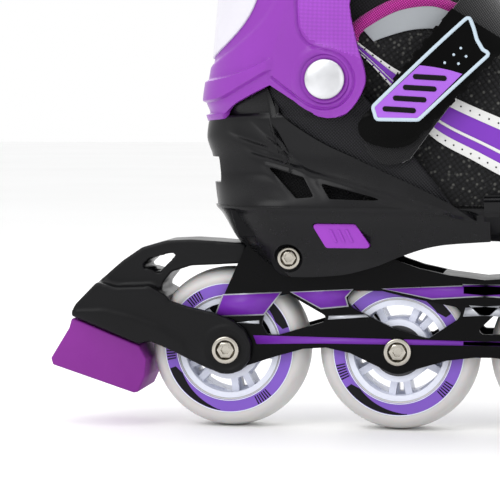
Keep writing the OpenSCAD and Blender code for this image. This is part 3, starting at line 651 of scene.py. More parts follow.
def boltHead(at, y, side, head, thick):
    # a round head with a raised rim, a dished face and a six-sided socket
    rim = bolt["ring"] * head / 6
    profile = [(0.01, 0.2), (rim - 0.6, 0.2), (rim, thick * 0.45), (rim + 0.2, thick), (head - 0.8, thick),
               (head - 0.25, thick - 0.2), (head, thick - 0.7), (head, 0), (0.01, 0)]
    start = Vector((at.x, side * y, at.z))
    bm = lathe(profile, start, (0, side, 0), 48)
    socket = lathe([(bolt["socket"] * 0.78, 0.2), (bolt["socket"] * 0.78, thick * 0.9),
                    (rim * 0.92, thick * 0.78), (rim * 0.92, 0.2)], start, (0, side, 0), 6, closed=True)
    return joined(bm, socket)


def shank(at, y0, y1, radius):
    return lathe([(0.01, y0), (radius, y0), (radius, y1), (0.01, y1)], (at.x, 0, at.z), (0, 1, 0), 40)


bossOut = -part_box("brake_bracket")[0].y / mm
heads = {-1: [], 1: []}
for i, at in enumerate(axles):
    seat = (bossOut if i == 0 else plateFace) + 0.06
    for side in (-1, 1):
        heads[side].append(boltHead(at, seat, side, bolt["head"], bolt["thick"]))
    heads[-1].append(shank(at, -seat, 10.9, 3.97))
    heads[1].append(shank(at, 11.3, seat, 3.97))
finishPiece(makePiece(joined(*heads[-1]), "axleBolts", nickel, bevel=0.12), "chassis",
            ["axle_bolts"])
finishPiece(makePiece(joined(*heads[1]), "axleScrews", nickel, bevel=0.12), "chassis",
            ["axle_screws"])
for name, at in (("heel", heelBolt), ("toe", toeBolt)):
    for side, node in ((-1, "mount_bolt"), (1, "mount_nut")):
        low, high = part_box(f"{name}_{node}")
        seat = (-low.y if side < 0 else high.y) / mm - 2
        ends = (-seat, -7) if side < 0 else (7, seat)
        bm = joined(boltHead(at, seat, side, 5, 2), shank(at, *ends, 2.95))
        finishPiece(makePiece(bm, f"{name}{'Bolt' if side < 0 else 'Nut'}", nickel, bevel=0.1), "chassis",
                    [f"{name}_{node}"])
print("bolts ready")

# frame: the CAD channel with paint, edges and printed panels

paints = {"frame": blackPaint, "wheel_spacers": darkSteel, "bearing_inner_races": darkSteel,
          "pivot_posts": darkSteel,
          "strap_rivets": nickel, "button_spring": nickel, "size_rack": blackMatte, "buckle_rivets": nickel,
          "ladder_rivet": nickel, "lever_pin": nickel, "brake_screw": nickel, "brake_nut": nickel}
for node, paint in paints.items():
    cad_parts[node].data.materials.clear()
    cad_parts[node].data.materials.append(paint)
for node, width in (("frame", 0.5), ("size_rack", 0.4), *((f"hub_{i}", 0.35) for i in range(1, 5))):
    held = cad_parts[node]
    weld = held.modifiers.new("weld", "WELD")
    weld.merge_threshold = 0.00002
    addBevel(held, width, 30)

decals = {
    "purple": [[(-112.7, 58.2), (-88, 59.6), (-95.2, 50.4), (-116, 49.4)],
               [(-82.6, 59.9), (-57, 61.3), (-59.8, 58.2), (-58.8, 54.6), (-70.2, 53.4)],
               [(-43, 62), (-6, 63.6), (9, 64), (9, 60.4), (-22.4, 58.2)]],
    "band": [[(-99.6, 41.1), (-42.2, 40.5), (9, 39.9), (9, 38.3), (-42.2, 38.1), (-70.6, 38), (-98.2, 37.3)]],
    "silver": [[(-97, 47.7), (-108, 46.4), (-97, 46.1)], [(-66.7, 50), (-51.1, 50.9), (-49.4, 49.8),
                                                          (-67.1, 48.4)],
               [(-8.2, 54.4), (6.7, 55.5), (2.2, 51.3), (-9.2, 50.6)]],
    "thin": 0.12, "edge": 0.55}


def grownOutline(outline, grow):
    # the outline moved outwards by a little, for a pale border under a decal
    p = [Vector(q) for q in outline]
    area = sum(a.x * b.y - a.y * b.x for a, b in zip(p, p[1:] + p[:1]))
    out = []
    for i, b in enumerate(p):
        u, v = (b - p[i - 1]).normalized(), (p[(i + 1) % len(p)] - b).normalized()
        n1, n2 = Vector((u.y, -u.x)), Vector((v.y, -v.x))
        n = (n1 + n2).normalized() * (1 if area > 0 else -1)
        out.append(tuple(b + n * grow / max(0.5, abs(n.dot(n1)))))
    return out


def decal(outline, lift):
    inner = plateFace + lift
    return joined(sidePrism(outline, -inner - decals["thin"], -inner),
                  sidePrism(outline, inner, inner + decals["thin"]))


def mirroredX(outline):
    return [(-x, z) for x, z in outline]


borders, fills, bars = [], [], []
for outline in decals["purple"] + [mirroredX(o) for o in decals["purple"][:2]] + [mirroredX(decals["purple"][2])]:
    borders.append(decal(grownOutline(outline, decals["edge"]), 0.01))
    fills.append(decal(outline, decals["thin"]))
for outline in decals["band"] + [mirroredX(decals["band"][0])]:
    fills.append(decal(outline, 0.02))
for outline in decals["silver"] + [mirroredX(o) for o in decals["silver"]]:
    bars.append(decal(outline, 0.02))
finishPiece(makePiece(joined(*borders), "frameDecalEdges", silverPrint), "chassis")
finishPiece(makePiece(joined(*fills), "frameDecals", framePurple), "chassis")
finishPiece(makePiece(joined(*bars), "frameBars", silverPrint), "chassis")
print("frame ready")

# rear shell

cup = {"columns": 330, "rows": 60, "wall": 2.5,
       "top": [(-121, 152), (-112, 153), (-95, 154.5), (-91.6, 151), (-90.7, 143.4), (-87.4, 137.6),
               (-83.5, 135.4), (-75, 129.2), (-63.3, 122.6), (-49.8, 116.6), (-36.4, 110.5), (-22.9, 104.5),
               (-12.8, 99.4), (-2.7, 92.4)],
       "bottom": [(-121, 97.4), (-60, 97), (-20, 95.4), (-2.7, 91.7)],
       "crease": [(-101.5, 136.2), (-87, 125.6), (-75.4, 116), (-68, 112.6), (-48.8, 107.1), (-25, 100.4),
                  (-8, 94.6)],
       "upperFin": [(-111, 129.8), (-98, 125.8), (-87.5, 122.6)], "lowerFin": [(-103, 122.2), (-88, 118.2),
                                                                               (-75, 114.6)],
       "flare": 15, "heelVent": [(-127, 118.4), (-114.5, 118.2), (-109.4, 113.6), (-109, 108.8),
                                 (-114, 107.2), (-127, 107.2)],
       "vents": [[(-92.4, 114.8), (-75.6, 109.9), (-70.6, 101.8), (-78.3, 101.2)], [(-68.4, 107.8),
                                                                                    (-39, 100.4), (-64, 101)]]}
base = {"back": smoothCurve([(66, -88), (73.3, -98.4), (77.5, -103), (81.8, -107.7), (91.4, -113.6),
                             (97.5, -117.4)]),
        "half": smoothCurve([(64, 22), (68, 23), (74, 24.6), (84, 30.6), (92, 34.6), (97.5, 36)]),
        "centreX": -81,
        "wall": 3, "lower": smoothCurve([(-105, 79), (-98.4, 73.3), (-91.8, 68.6), (-86.9, 67.3),
                                         (-76.6, 67.1), (-61.4, 68.1), (-46.3, 71.9), (-34.6, 76.7),
                                         (-23, 80.6), (-15.5, 82), (4, 83.6)])}


def baseHalfAt(x, z):
    reach = base["centreX"] - base["back"](z)
    bend = np.clip((base["centreX"] - x) / reach, 0, 1)
    return base["half"](z) * (1 - bend**2)**0.5 + np.clip((x + 81) / 81, 0, 1) * 1.5


def ringAngles(points, inset):
    # points of the side view as (angle round the form, height)
    p = np.array(points, float)
    return np.stack([angleOf(p[:, 0], p[:, 1], inset), p[:, 1]], axis=-1)


def cupLocate(u, v):
    across = 2 * u - 1
    angle = 180 - np.abs(across) * (180 - angleOf(np.array(-2.7), np.array(92.0)))
    top, bottom = (ringAngles(cup[k], 0)[::-1] for k in ("top", "bottom"))
    z = np.interp(angle, bottom[:, 0], bottom[:, 1]) * (1 - v) + np.interp(angle, top[:, 0], top[:, 1]) * v
    return angle, z, onForm(angle, z, 0)[:, 0], np.where(across < 0, -1, 1)


def cupRelief(x, z):
    crease = smoothPath(cup["crease"])
    d, side = distanceTo(crease, x, z)
    # the blade stands proud above its crease
    lift = np.where(side > 0, 1.8 * np.exp(-d / 8), 1.8 * np.exp(-(d / 1.9)**1.5))
    lift = lift * ease((x + 101.5) / 12)
    for fin in ("upperFin", "lowerFin"):
        d, side = distanceTo(smoothPath(cup[fin]), x, z)
        # a fin fades out at both ends, with a hollow below it
        ends = ease((x - cup[fin][0][0]) / 7) * ease((cup[fin][-1][0] - x) / 5)
        below = 0.9 * np.exp(-(d / 1.3)**1.5) - 0.5 * np.exp(-((d - 2.2) / 1.2)**2)
        lift = lift + ends * np.where(side > 0, 0.9 * np.exp(-d / 2.6), below)
    for vent in cup["vents"]:
        d, _ = distanceTo(np.array(vent + vent[:1]), x, z)
        lift = lift + 0.7 * np.exp(-(d / 1.6)**2)
    return lift


def cupPlace(u, v):
    angle, z, x, side = cupLocate(u, v)
    p = onForm(angle, z, -cupRelief(x, z) * ease((150 - z) / 6), side)
    wide = baseHalfAt(p[:, 0], np.full(u.shape, 97.4)) * side
    down = 1 - ease((z - 97) / cup["flare"])
    flared = np.where(np.abs(wide) > np.abs(p[:, 1]), wide, p[:, 1])
    p[:, 1] = p[:, 1] * (1 - down) + flared * down
    return p


def cupNear(u, v):
    _, z, x, _ = cupLocate(u, v)
    near = np.zeros(u.shape, bool)
    for line in ("crease", "upperFin", "lowerFin"):
        near |= distanceTo(smoothPath(cup[line]), x, z)[0] < 2.4
    return near


shellBm = tidyMesh(gridMesh(cup["columns"], cup["rows"], cupPlace, cupNear, 1), fromForm)
rearCup = makePiece(shellBm, "rearCup", blackGloss, cup["wall"])
cutters = [makePiece(sidePrism(rounded(v, 1.0), -70, 70), "cutter", blackGloss) for v in cup["vents"]]
cutters.append(makePiece(sidePrism(rounded(cup["heelVent"], 3), -13, 13), "cutter", blackGloss))
cutOut(rearCup, cutters, "MANIFOLD")
addBevel(rearCup, 0.5, 40)
finishPiece(rearCup, "chassis", ["rear_shell"])


def basePlace(u, v):
    across = 2 * u - 1
    share, side = np.abs(across), np.where(across < 0, -1, 1)
    arc = 0.42  # share of the width that bends round the heel
    turn = np.clip(share / arc, 0, 1) * math.pi / 2
    ahead = np.clip((share - arc) / (1 - arc), 0, 1) * 84
    heelEnd = 78 - 11 * ease(turn / (math.pi / 2))
    z = np.full(u.shape, 90.0)
    for _ in range(8):
        x = base["centreX"] - (base["centreX"] - base["back"](z)) * np.cos(turn) + ahead
        low = np.where(share < arc, np.maximum(heelEnd, base["lower"](x)), base["lower"](x))
        z = 97.5 + (low - 97.5) * v
    y = base["half"](z) * np.sin(turn)**0.95 + np.clip((x + 81) / 81, 0, 1) * 1.5
    ledge = 0.8 * np.exp(-((z - 96.5) / 1.6)**2)
    return np.stack([x - ledge * np.cos(turn), side * (y + ledge * np.sin(turn)), z], axis=-1)


def fromSkirt(p):
    return Vector((p.x + 60 if p.x < -90 else 0, p.y, 0))


skirt = makePiece(tidyMesh(gridMesh(220, 40, basePlace), fromSkirt), "rearSkirt", blackGloss, base["wall"])
buttonOutline = rounded([(-72.5, 90.9), (-53.3, 90.9), (-45.9, 80.1), (-65.9, 80.1)], 1.8)
pocket = makePiece(sidePrism(buttonOutline, -45, -20), "cutter", blackGloss)
wells, heelAt = [], (heelBolt.x, 0, heelBolt.z)
for s in (-1, 1):
    rod = lathe([(0.01, s * 20), (6.2, s * 20), (6.2, s * 45), (0.01, s * 45)], heelAt, (0, 1, 0))
    wells.append(makePiece(rod, "cutter", blackGloss))
cutOut(skirt, [pocket, *wells])
addBevel(skirt, 0.5, 40)
finishPiece(skirt, "chassis")
washers = [lathe([(3, s * 19.4), (8, s * 19.4), (8, s * 22.05), (3, s * 22.05)], heelAt, (0, 1, 0),
                 closed=True)
           for s in (-1, 1)]
deck = joined(sidePrism([(-104, 84.2), (-1, 84.2), (-1, 93), (-20, 96), (-108, 96)], -26, 26), *washers)
finishPiece(makePiece(deck, "rearDeck", blackMatte, bevel=0.6), "chassis")
print("rear shell ready")

# ankle panels: textured, inside the blade's edge and under the cuff

anklePanel = {"bottom": [(-90.5, 141), (-86.5, 135), (-75, 127), (-50, 114.5), (-23, 102.6), (-10, 95.6)],
              "front": [(-50, 146), (-46, 139.5), (-32.1, 122.7), (-12.6, 97.9), (-9.6, 96.4)], "inset": 0.9,
              "thick": 1.3}


def ruled(bottom, top, u, v):
    return along(bottom, u) * (1 - v)[:, None] + along(top, u) * v[:, None]


def sideSheet(bottom, top, columns, rows, inset, relief=None):
    # a conformal sheet on both sides of the boot, between two lines of the side view
    def build(side):
        def place(u, v):
            p = ruled(bottom, top, u, v)
            deep = inset - (relief(p[:, 0], p[:, 1], u, v) if relief else 0)
            return atSide(p[:, 0], p[:, 1], deep, side)
        return tidyMesh(gridMesh(columns, rows, place), fromForm)
    return twoSides(build)


panelTop = [(-90.3, 147.5)] + arcPoints((pivot.x, pivot.z), 14, 168, -20, 12) + anklePanel["front"][1:]


def panelRelief(x, z, u, v):
    # a raised rim along the front edge
    return 0.5 * np.exp(-distanceTo(np.array(panelTop[12:]), x, z)[0] / 0.7)


panelSheet = sideSheet(smoothPath(anklePanel["bottom"]), np.array(panelTop), 90, 30, anklePanel["inset"],
                       panelRelief)
panels = makePiece(panelSheet, "anklePanels", blackGrid, anklePanel["thick"], bevel=0.3)
finishPiece(panels, "chassis", ["ankle_panels"])

# cuff

cuff = {"inset": -4.2, "wall": 2.6, "columns": 230, "rows": 120,
        "bottom": [(-117.2, 136.1), (-112.2, 136.6), (-89.5, 148.8), (-84, 145.4), (-78.8, 142.1),
                   (-74, 138.6), (-70.2, 136.4), (-64.6, 134.9), (-60.5, 135.2), (-57.3, 136.6),
                   (-54.5, 138.6), (-52.2, 141.4), (-50.4, 144.4)],
        "front": [(-50.4, 144.4), (-48.5, 149.5), (-48.9, 154.9), (-51.0, 161.5), (-53.0, 169.5),
                  (-54.7, 178), (-54.4, 185), (-49, 198), (-40.5, 212), (-34.5, 228), (-32.5, 244),
                  (-35.5, 255)],
        "top": [(-110, 276), (-90, 271.5), (-60, 266.5), (-43, 262.5), (-35.5, 255)],
        "grooveLine": [(-78, 192), (-77.6, 180), (-76.8, 171.6), (-72.6, 165.6), (-65.9, 163.2),
                       (-58.5, 160.6), (-54.3, 155.5), (-53, 150), (-55, 144.3), (-59.5, 140.3),
                       (-65.5, 138.9), (-71.5, 140.2), (-79.3, 144.8), (-88.7, 151.8)],
        "upperTier": [(-124, 150.6), (-112, 152), (-100, 155), (-89.5, 159.5)],
        "lowerTier": [(-124, 141.6), (-112, 143.2), (-101, 148.6), (-89.3, 154.6)],
        "ridge": [(-89.4, 155), (-86.8, 163), (-83, 174), (-80.5, 186), (-79, 205), (-76, 230)],
        "spineZ": 205, "spineHalf": (40, 46), "spinePower": 2.5}


def coons(bottom, top, back, front, u, v):
    b, t, k, f = along(bottom, u), along(top, u), along(back, v), along(front, v)
    corners = ((1 - u) * (1 - v))[:, None] * bottom[0] + (u * (1 - v))[:, None] * bottom[-1] \
        + ((1 - u) * v)[:, None] * top[0] + (u * v)[:, None] * top[-1]
    return b * (1 - v)[:, None] + t * v[:, None] + k * (1 - u)[:, None] + f * u[:, None] - corners


def cuffLocate(u, v):
    across = 2 * u - 1
    share, side = np.abs(across), np.where(across < 0, -1, 1)
    lift = v**1.35
    bottom = np.vstack([[(180, 136.1)], ringAngles(cuff["bottom"], cuff["inset"])[1:]])
    front = ringAngles(smoothPath(cuff["front"], 5), cuff["inset"])
    top = np.vstack([[(180, 276)], ringAngles(smoothPath(cuff["top"], 5), cuff["inset"])[1:]])
    scale = np.array([1.3, 1.0])  # degrees weigh like millimetres along the edges
    spineEdge = np.array([bottom[0], top[0]])
    place = coons(bottom * scale, top * scale, spineEdge * scale, front * scale, share, lift) / scale
    return place[:, 0], place[:, 1], onForm(place[:, 0], place[:, 1], cuff["inset"])[:, 0], side


def spineShare(y, z):
    n = cuff["spinePower"]
    return (np.abs(y / cuff["spineHalf"][0])**n + np.abs((z - cuff["spineZ"]) / cuff["spineHalf"][1])**n)**(1 / n)


def cuffRelief(x, z, y):
    cut = smoothPath(cuff["grooveLine"])
    lift = -groove(cut, x, z, 2.0, 1.0)
    behind = ease((-87.5 - x) / 3)
    upper, upperSide = distanceTo(smoothPath(cuff["upperTier"]), x, z)
    lower, lowerSide = distanceTo(smoothPath(cuff["lowerTier"]), x, z)
    above, below = upper * upperSide, lower * lowerSide
    band = ease(0.5 - above / 1.4) * ease(0.5 + below / 1.0)
    lift = lift + behind * (band * 1.5 - 0.2 * ease(0.5 - below / 1.0))
    ring = np.hypot(x - pivot.x, z - pivot.z)
    lift = lift + 0.9 * ease((15.6 - ring) / 3) * (ring > 8.6) - 1.0 * np.exp(-((ring - 9.0) / 0.9)**2)
    d, side = distanceTo(smoothPath(cuff["ridge"]), x, z)
    lift = lift + 0.55 * np.where(side < 0, np.exp(-d / 1.0), np.exp(-d / 6))
    panelZone = np.array(cuff["grooveLine"][:7] + [(-45, 163), (-30, 200), (-30, 262), (-70, 262)])
    lift = lift - 0.35 * inside(panelZone, x, z) * ease(distanceTo(cut, x, z)[0] / 2)
    back = (x < -80) & (spineShare(y, z) < 1.06)
    return np.where(back, -1.2 * ease((1.06 - spineShare(y, z)) * 24), lift)


def cuffPlace(u, v):
    angle, z, x, side = cuffLocate(u, v)
    flat = onForm(angle, z, cuff["inset"], side)
    return onForm(angle, z, cuff["inset"] - cuffRelief(x, z, flat[:, 1]), side)


def cuffNear(u, v):
    _, z, x, _ = cuffLocate(u, v)
    near = distanceTo(smoothPath(cuff["grooveLine"]), x, z)[0] < 2.2
    for line in ("upperTier", "lowerTier"):
        near |= (distanceTo(smoothPath(cuff[line]), x, z)[0] < 1.6) & (x < -86)
    return near


cuffBm = tidyMesh(gridMesh(cuff["columns"], cuff["rows"], cuffPlace, cuffNear, 1), fromForm)
gridZone = np.array([(-76.6, 200), (-76.4, 181), (-75.6, 172.6), (-71.8, 167.2), (-65.9, 165), (-58, 162.6),
                     (-46, 158), (-30, 200), (-32, 258), (-74, 258)])
centres = [f.calc_center_median() for f in cuffBm.faces]
zone = inside(gridZone, np.array([c.x for c in centres]), np.array([c.z for c in centres]))
for f, hit in zip(cuffBm.faces, zone):
    f.material_index = 1 if hit else 0
cuffShell = makePiece(cuffBm, "cuffShell", [purpleSatin, purpleGrid], cuff["wall"], bevel=0.6)
finishPiece(cuffShell, "cuff", ["cuff_shell"])

spine = {"inset": -4.0, "thick": 1.6, "share": 0.97, "crown": 0.7, "mark": 0.18}


def spinePlace(u, v):
    # a square turned into a rounded shield on the cuff's back
    a, b = 2 * u - 1, 2 * v - 1
    n = cuff["spinePower"]
    pull = np.maximum(np.abs(a), np.abs(b)) / np.maximum(1e-6, (np.abs(a)**n + np.abs(b)**n)**(1 / n))
    y = a * pull * cuff["spineHalf"][0] * spine["share"]
    z = cuff["spineZ"] + b * pull * cuff["spineHalf"][1] * spine["share"]
    half = heelHalf(z) - spine["inset"]
    t = 180 - np.degrees(np.arcsin(np.clip(np.abs(y) / (half + 1.2), 0, 0.96)**1.25))
    out = onForm(t, z, spine["inset"] - spine["crown"] * (1 - np.maximum(np.abs(a), np.abs(b))**4), 1)
    return out * np.stack([np.ones_like(y), np.sign(y), np.ones_like(y)], axis=-1)


def backwards(p):
    return Vector((p.x + 60, p.y * 1.2, 0))


spinePiece = makePiece(tidyMesh(gridMesh(40, 70, spinePlace), backwards), "spinePanel",
                       spineWhite, spine["thick"], bevel=0.4)
finishPiece(spinePiece, "cuff", ["spine_panel"])


def crescent(u, v):
    # a plain crescent on the panel
    a = (2 * u - 1) * 1.25
    r = 13 - 5.5 * (v - 0.5) * np.cos(a)**1.5
    y, z = r * np.sin(a), cuff["spineZ"] - 14 - (r * np.cos(a) - 13) * 1.6
    t = 180 - np.degrees(np.arcsin(np.clip(np.abs(y) / (heelHalf(z) + 5), 0, 0.999)**1.25))
    out = onForm(t, z, spine["inset"] - 0.85, 1)
    out[:, 1] = y
    return out


mark = makePiece(tidyMesh(gridMesh(40, 6, crescent), backwards), "spineMark", printPurple, spine["mark"])
finishPiece(mark, "cuff")

cap = {"profile": [(0.01, 2.4), (3, 2.32), (6, 1.95), (7.6, 1.45), (8.3, 0.9), (8.3, 0), (0.01, 0)],
       "seat": [(4.2, -5), (4.2, 0), (9.4, 0.0), (9.9, 0.4), (9.9, -5)]}
capFace = -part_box("pivot_caps")[0].y / mm
capParts = [lathe(cap["profile"], (pivot.x, s * (capFace - 2.3), pivot.z), (0, s, 0), 64) for s in (-1, 1)]
finishPiece(makePiece(joined(*capParts), "pivotCaps", capMetal, bevel=0.2), "chassis",
            ["pivot_caps"])
wells = [lathe(cap["seat"], (pivot.x, s * (capFace - 2.5), pivot.z), (0, s, 0), 64,
               closed=True) for s in (-1, 1)]
finishPiece(makePiece(joined(*wells), "pivotSeats", purpleSatin), "cuff")
print("cuff ready")

# liner: one padded sock from the heel to the collar

liner = {"inset": 6.0, "thick": 6.5, "low": 99.5, "high": 281, "channels": (196, 226, 256), "fill": 0.7}


def linerPlace(u, v):
    # up the outside, over the rolled collar and down the inside
    angle = 360 * u
    side = np.where(angle > 180, -1, 1)
    angle = np.where(angle > 180, 360 - angle, angle)
    up, over = 0.55, 0.12
    radius = liner["thick"] / 2
    a = np.clip((v - up) / over, 0, 1) * math.pi
    top = liner["high"] + 3 * np.cos(np.radians(angle - 180))
    z = np.where(v < up, liner["low"] + (top - liner["low"]) * v / up, top + radius * np.sin(a))
    z = np.where(v > up + over, top - (top - 150) * (v - up - over) / (1 - up - over), z)
    inset = liner["inset"] + radius * (1 - np.cos(a))
    puff = 0
    for channel in liner["channels"]:
        puff = puff - 1.1 * np.exp(-((z - channel) / 2.2)**2)
    seam = -0.9 * np.exp(-((angle - 118) / 1.2)**2) * ease((z - 170) / 10)
    swell = (puff + seam + 0.9) * np.where(v < up, 1, -0.6) * ease((z - 168) / 14)
    return onForm(angle, z, inset - swell, side)


linerPiece = makePiece(tidyMesh(gridMesh(180, 200, linerPlace), None), "liner", linerCloth)
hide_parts("heel_liner", "cuff_liner")
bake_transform(linerPiece)


def insolePlace(u, v):
    a, r = 2 * math.pi * u, v
    angle = np.degrees(np.where(a > math.pi, 2 * math.pi - a, a))
    ring = onForm(angle, np.full(u.shape, 99.0), 5.5, np.where(a > math.pi, -1, 1))
    spineLine = np.stack([np.clip(ring[:, 0], -80, 90), 0 * u, 99 + 0 * u], axis=-1)
    p = spineLine + (ring - spineLine) * r[:, None]
    p[:, 2] += 1.6 * (1 - r**3)
    return p


insole = makePiece(tidyMesh(gridMesh(72, 12, insolePlace), lambda p: Vector((0, 0, 1)), 0.05), "insolePad",
                   linerCloth, 2.4)
finishPiece(insole, "chassis", ["insole"])
print("liner ready")

# fabric upper, its bands and binding

upper = {"inset": 4.9, "thick": 1.6, "rear": -54, "low": 98.5,
         "collar": [(-54, 160), (-53.6, 169.5), (-44, 176.5), (-33.3, 181), (-20.7, 182), (-9, 178)],
         "throatY": 12,
         "throatZ": (172, 160, 150, 142, 136, 131)}


def throatAngle(z, inset):
    return math.degrees(math.asin(min(1, (upper["throatY"] / float(ballHalf(z) - inset))**1.25)))


upperEdge = [(float(angleOf(x, z, upper["inset"])), z) for x, z in upper["collar"]]
upperEdge += [(throatAngle(z, upper["inset"]), z) for z in upper["throatZ"]]
upperEdge += [(throatAngle(129, 5) * 0.55, 128.4), (0, 128)]
lowerEdge = [(float(angleOf(upper["rear"], upper["low"])), upper["low"]), (0, upper["low"])]
upperEdge = smoothPath(upperEdge, 6)


def upperBuild(side):
    def place(u, v):
        p = ruled(lowerEdge, upperEdge, u, v)
        return onForm(np.maximum(0, p[:, 0]), p[:, 1], upper["inset"], side)
    return tidyMesh(gridMesh(150, 70, place), fromForm)


def slideBlend(piece, stands=()):
    if stands:
        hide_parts(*stands)
    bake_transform(piece)


upperPiece = makePiece(tidyMesh(twoSides(upperBuild), fromForm, 0.05), "upper", meshBlack, upper["thick"])
slideBlend(upperPiece, ["instep_upper", "vamp"])

bands = {"top": [(-55, 168.6), (-45, 161), (-33.2, 153.4), (-9.7, 142.2), (8.8, 134.2), (30, 125.6),
                 (52, 118)],
         "bottom": [(-50, 160), (-43, 153), (-31, 139), (-20.6, 126.6), (-4, 117.4), (8.8, 110.6),
                    (24, 104.4), (38, 100)],
         "shares": (("white", 0, 0.2), ("purple", 0.2, 0.36), ("white", 0.36, 0.42), ("purple", 0.42, 0.78),
                    ("white", 0.78, 1.0)), "inset": 4.2}


def bandRelief(x, z, u, v):
    return 0.25 * (4 * v * (1 - v))


bandBottom, bandTop = (along(smoothPath(bands[edge]), np.linspace(0, 1, 60)) for edge in ("bottom", "top"))
for key, paint in (("white", bandWhite), ("purple", bandPurple)):
    strips = []
    for k, (colour, start, stop) in enumerate(bands["shares"]):
        if colour == key:
            lowLine, highLine = (bandBottom * (1 - s) + bandTop * s for s in (start, stop))
            raised = bands["inset"] - (0.15 if k % 2 == 0 else 0)
            strips.append(sideSheet(lowLine, highLine, 110, 6, raised, bandRelief))
    slideBlend(makePiece(joined(*strips), f"{key}Band", paint, 0.6, bevel=0.15))

holes = []
for share in (0.1, 0.89):
    line = bandBottom * (1 - share) + bandTop * share
    for s in np.arange(0.02, 1, 0.036):
        x, z = along(line, np.array([s]))[0]
        for side in (-1, 1):
            p = atSide(np.array([x]), np.array([z]), bands["inset"] - 0.42, side)[0]
            holes.append(lathe([(0.01, 0), (0.38, 0), (0.38, 0.12), (0.01, 0.12)], p, (0, side, 0), 8))
slideBlend(makePiece(joined(*holes), "bandHoles", inkBlack))


def facingBuild(side):
    def place(u, v):
        share = 0.1 + 0.88 * u
        top = along(upperEdge, share)
        centre = np.array([70.0, 112.0])
        reach = 12 * (0.5 + 0.5 * np.sin(u * math.pi))
        pull = centre - top
        pull = pull / np.linalg.norm(pull, axis=1)[:, None]
        p = top + pull * (reach * (1 - v))[:, None]
        return onForm(np.maximum(0, p[:, 0]), p[:, 1], upper["inset"] - 0.7, side)
    return tidyMesh(gridMesh(140, 8, place), fromForm)


slideBlend(makePiece(twoSides(facingBuild), "facing", leatherGrey, 0.9, bevel=0.2))

binding = {"radius": 3.2}
bindingCloth = woven("bindingCloth", "ab2a8a", 0.8, None, 0.3, 0.7, 0.2)
for side, name in ((-1, "outer"), (1, "inner")):
    shares = np.linspace(0.0, 0.47, 90)
    edge = along(upperEdge, shares)
    path = onForm(edge[:, 0], edge[:, 1] + 1.2, upper["inset"] + 1.2, side)
    piece = tube(path, binding["radius"], f"{name}Binding", bindingCloth)
    finishPiece(piece, "chassis")
print("upper ready")

# tongue and laces' eyelets

tongue = {"inset": 7.6, "thick": 4.6, "low": 126, "high": 176, "half": 20}


def tonguePlace(u, v):
    # a padded leaf with a rounded top under the throat
    z = tongue["low"] + (tongue["high"] - tongue["low"]) * v
    half = tongue["half"] * np.sqrt(np.clip(1 - np.maximum(0, (v - 0.8) / 0.22)**2, 0.05, 1))
    y = (2 * u - 1) * half
    t = np.degrees(np.arcsin(np.clip(np.abs(y) / (ballHalf(z) - tongue["inset"]), 0, 1)**1.25))
    quilt = 0.7 * np.exp(-(y / 1.6)**2) + 0.7 * np.exp(-((np.mod(z, 14) - 7) / 1.3)**2)
    out = onForm(t, z, tongue["inset"] + quilt, 1)
    out[:, 1] = y
    return out


tonguePiece = makePiece(tidyMesh(gridMesh(50, 80, tonguePlace), lambda p: Vector((0.4, 0, 1))), "tonguePad",
                        linerCloth,
                        tongue["thick"], bevel=1.2)
finishPiece(tonguePiece, "chassis", ["tongue"])

eyelets = {"y": 16, "levels": (135, 140, 145, 150),
           "profile": [(1.6, -0.6), (1.75, 1.15), (2.2, 1.5), (2.8, 1.2), (3.0, 0.2), (3.0, -0.6)]}
orchidPaint = moulded("orchidPaint", "c23a9e", 0.3)


def eyeletAt(y, level, side):
    t = math.degrees(math.asin((y / float(ballHalf(level) - upper["inset"]))**1.25))
    return Vector(onForm(np.array([t]), np.array([float(level)]), upper["inset"], side)[0])


rings = []
for side in (-1, 1):
    for z in eyelets["levels"]:
        at = eyeletAt(eyelets["y"], z, side)
        up, across = eyeletAt(eyelets["y"], z + 1, side) - at, eyeletAt(eyelets["y"] + 1, z, side) - at
        out = up.cross(across).normalized()
        out = out if out.z > 0 else -out
        rings.append(lathe(eyelets["profile"], at, out, 32, closed=True))
slideBlend(makePiece(joined(*rings), "eyeletRings", orchidPaint), ["lace_eyelets"])

# 45 degree strap

strap = {"low": np.array([-41.0, 125.0]), "high": np.array([3.0, 184.0]), "width": 23.4, "shift": 1.2,
         "start": -8,
         "inset": -1.6, "thick": 1.9, "padInset": -3.5, "padThick": 1.7}
strapAlong = (strap["high"] - strap["low"]) / np.linalg.norm(strap["high"] - strap["low"])
strapAcross = np.array([strapAlong[1], -strapAlong[0]])


def strapReach(b, inset):
    # how far along the strap the front of the boot is
    low, high = 10.0, 140.0
    for _ in range(40):
        middle = (low + high) / 2
        x, z = strap["low"] + strapAlong * middle + strapAcross * b
        low, high = (middle, high) if x < frontX(z) - inset else (low, middle)
    return low


def strapPoint(length, b, inset, side):
    p = strap["low"] + length[:, None] * strapAlong + b[:, None] * strapAcross
    return atSide(p[:, 0], p[:, 1], inset, side)


def strapPlace(u, v):
    b = (v - 0.5) * strap["width"] + strap["shift"]
    reach = np.array([strapReach(value, strap["inset"])
                      for value in np.linspace(-0.5, 0.5, 41) * strap["width"] + strap["shift"]])
    far = np.interp(v, np.linspace(0, 1, 41), reach)
    t = 2 * u - 1
    start = strap["start"] + 9 * np.abs(2 * v - 1)**2.5
    s = 1 - np.abs(t)
    length = start + (far - start) * (1 - (1 - s)**2)
    edge = 0.25 * np.exp(-((np.abs(v - 0.5) - 0.4) / 0.02)**2)
    return strapPoint(length, b, strap["inset"] + edge, np.where(t < 0, -1, 1))


strapPiece = makePiece(tidyMesh(gridMesh(220, 40, strapPlace), fromForm, 0.02), "instepStrap", webbing,
                       strap["thick"], bevel=0.3)
finishPiece(strapPiece, "chassis", ["instep_strap"])


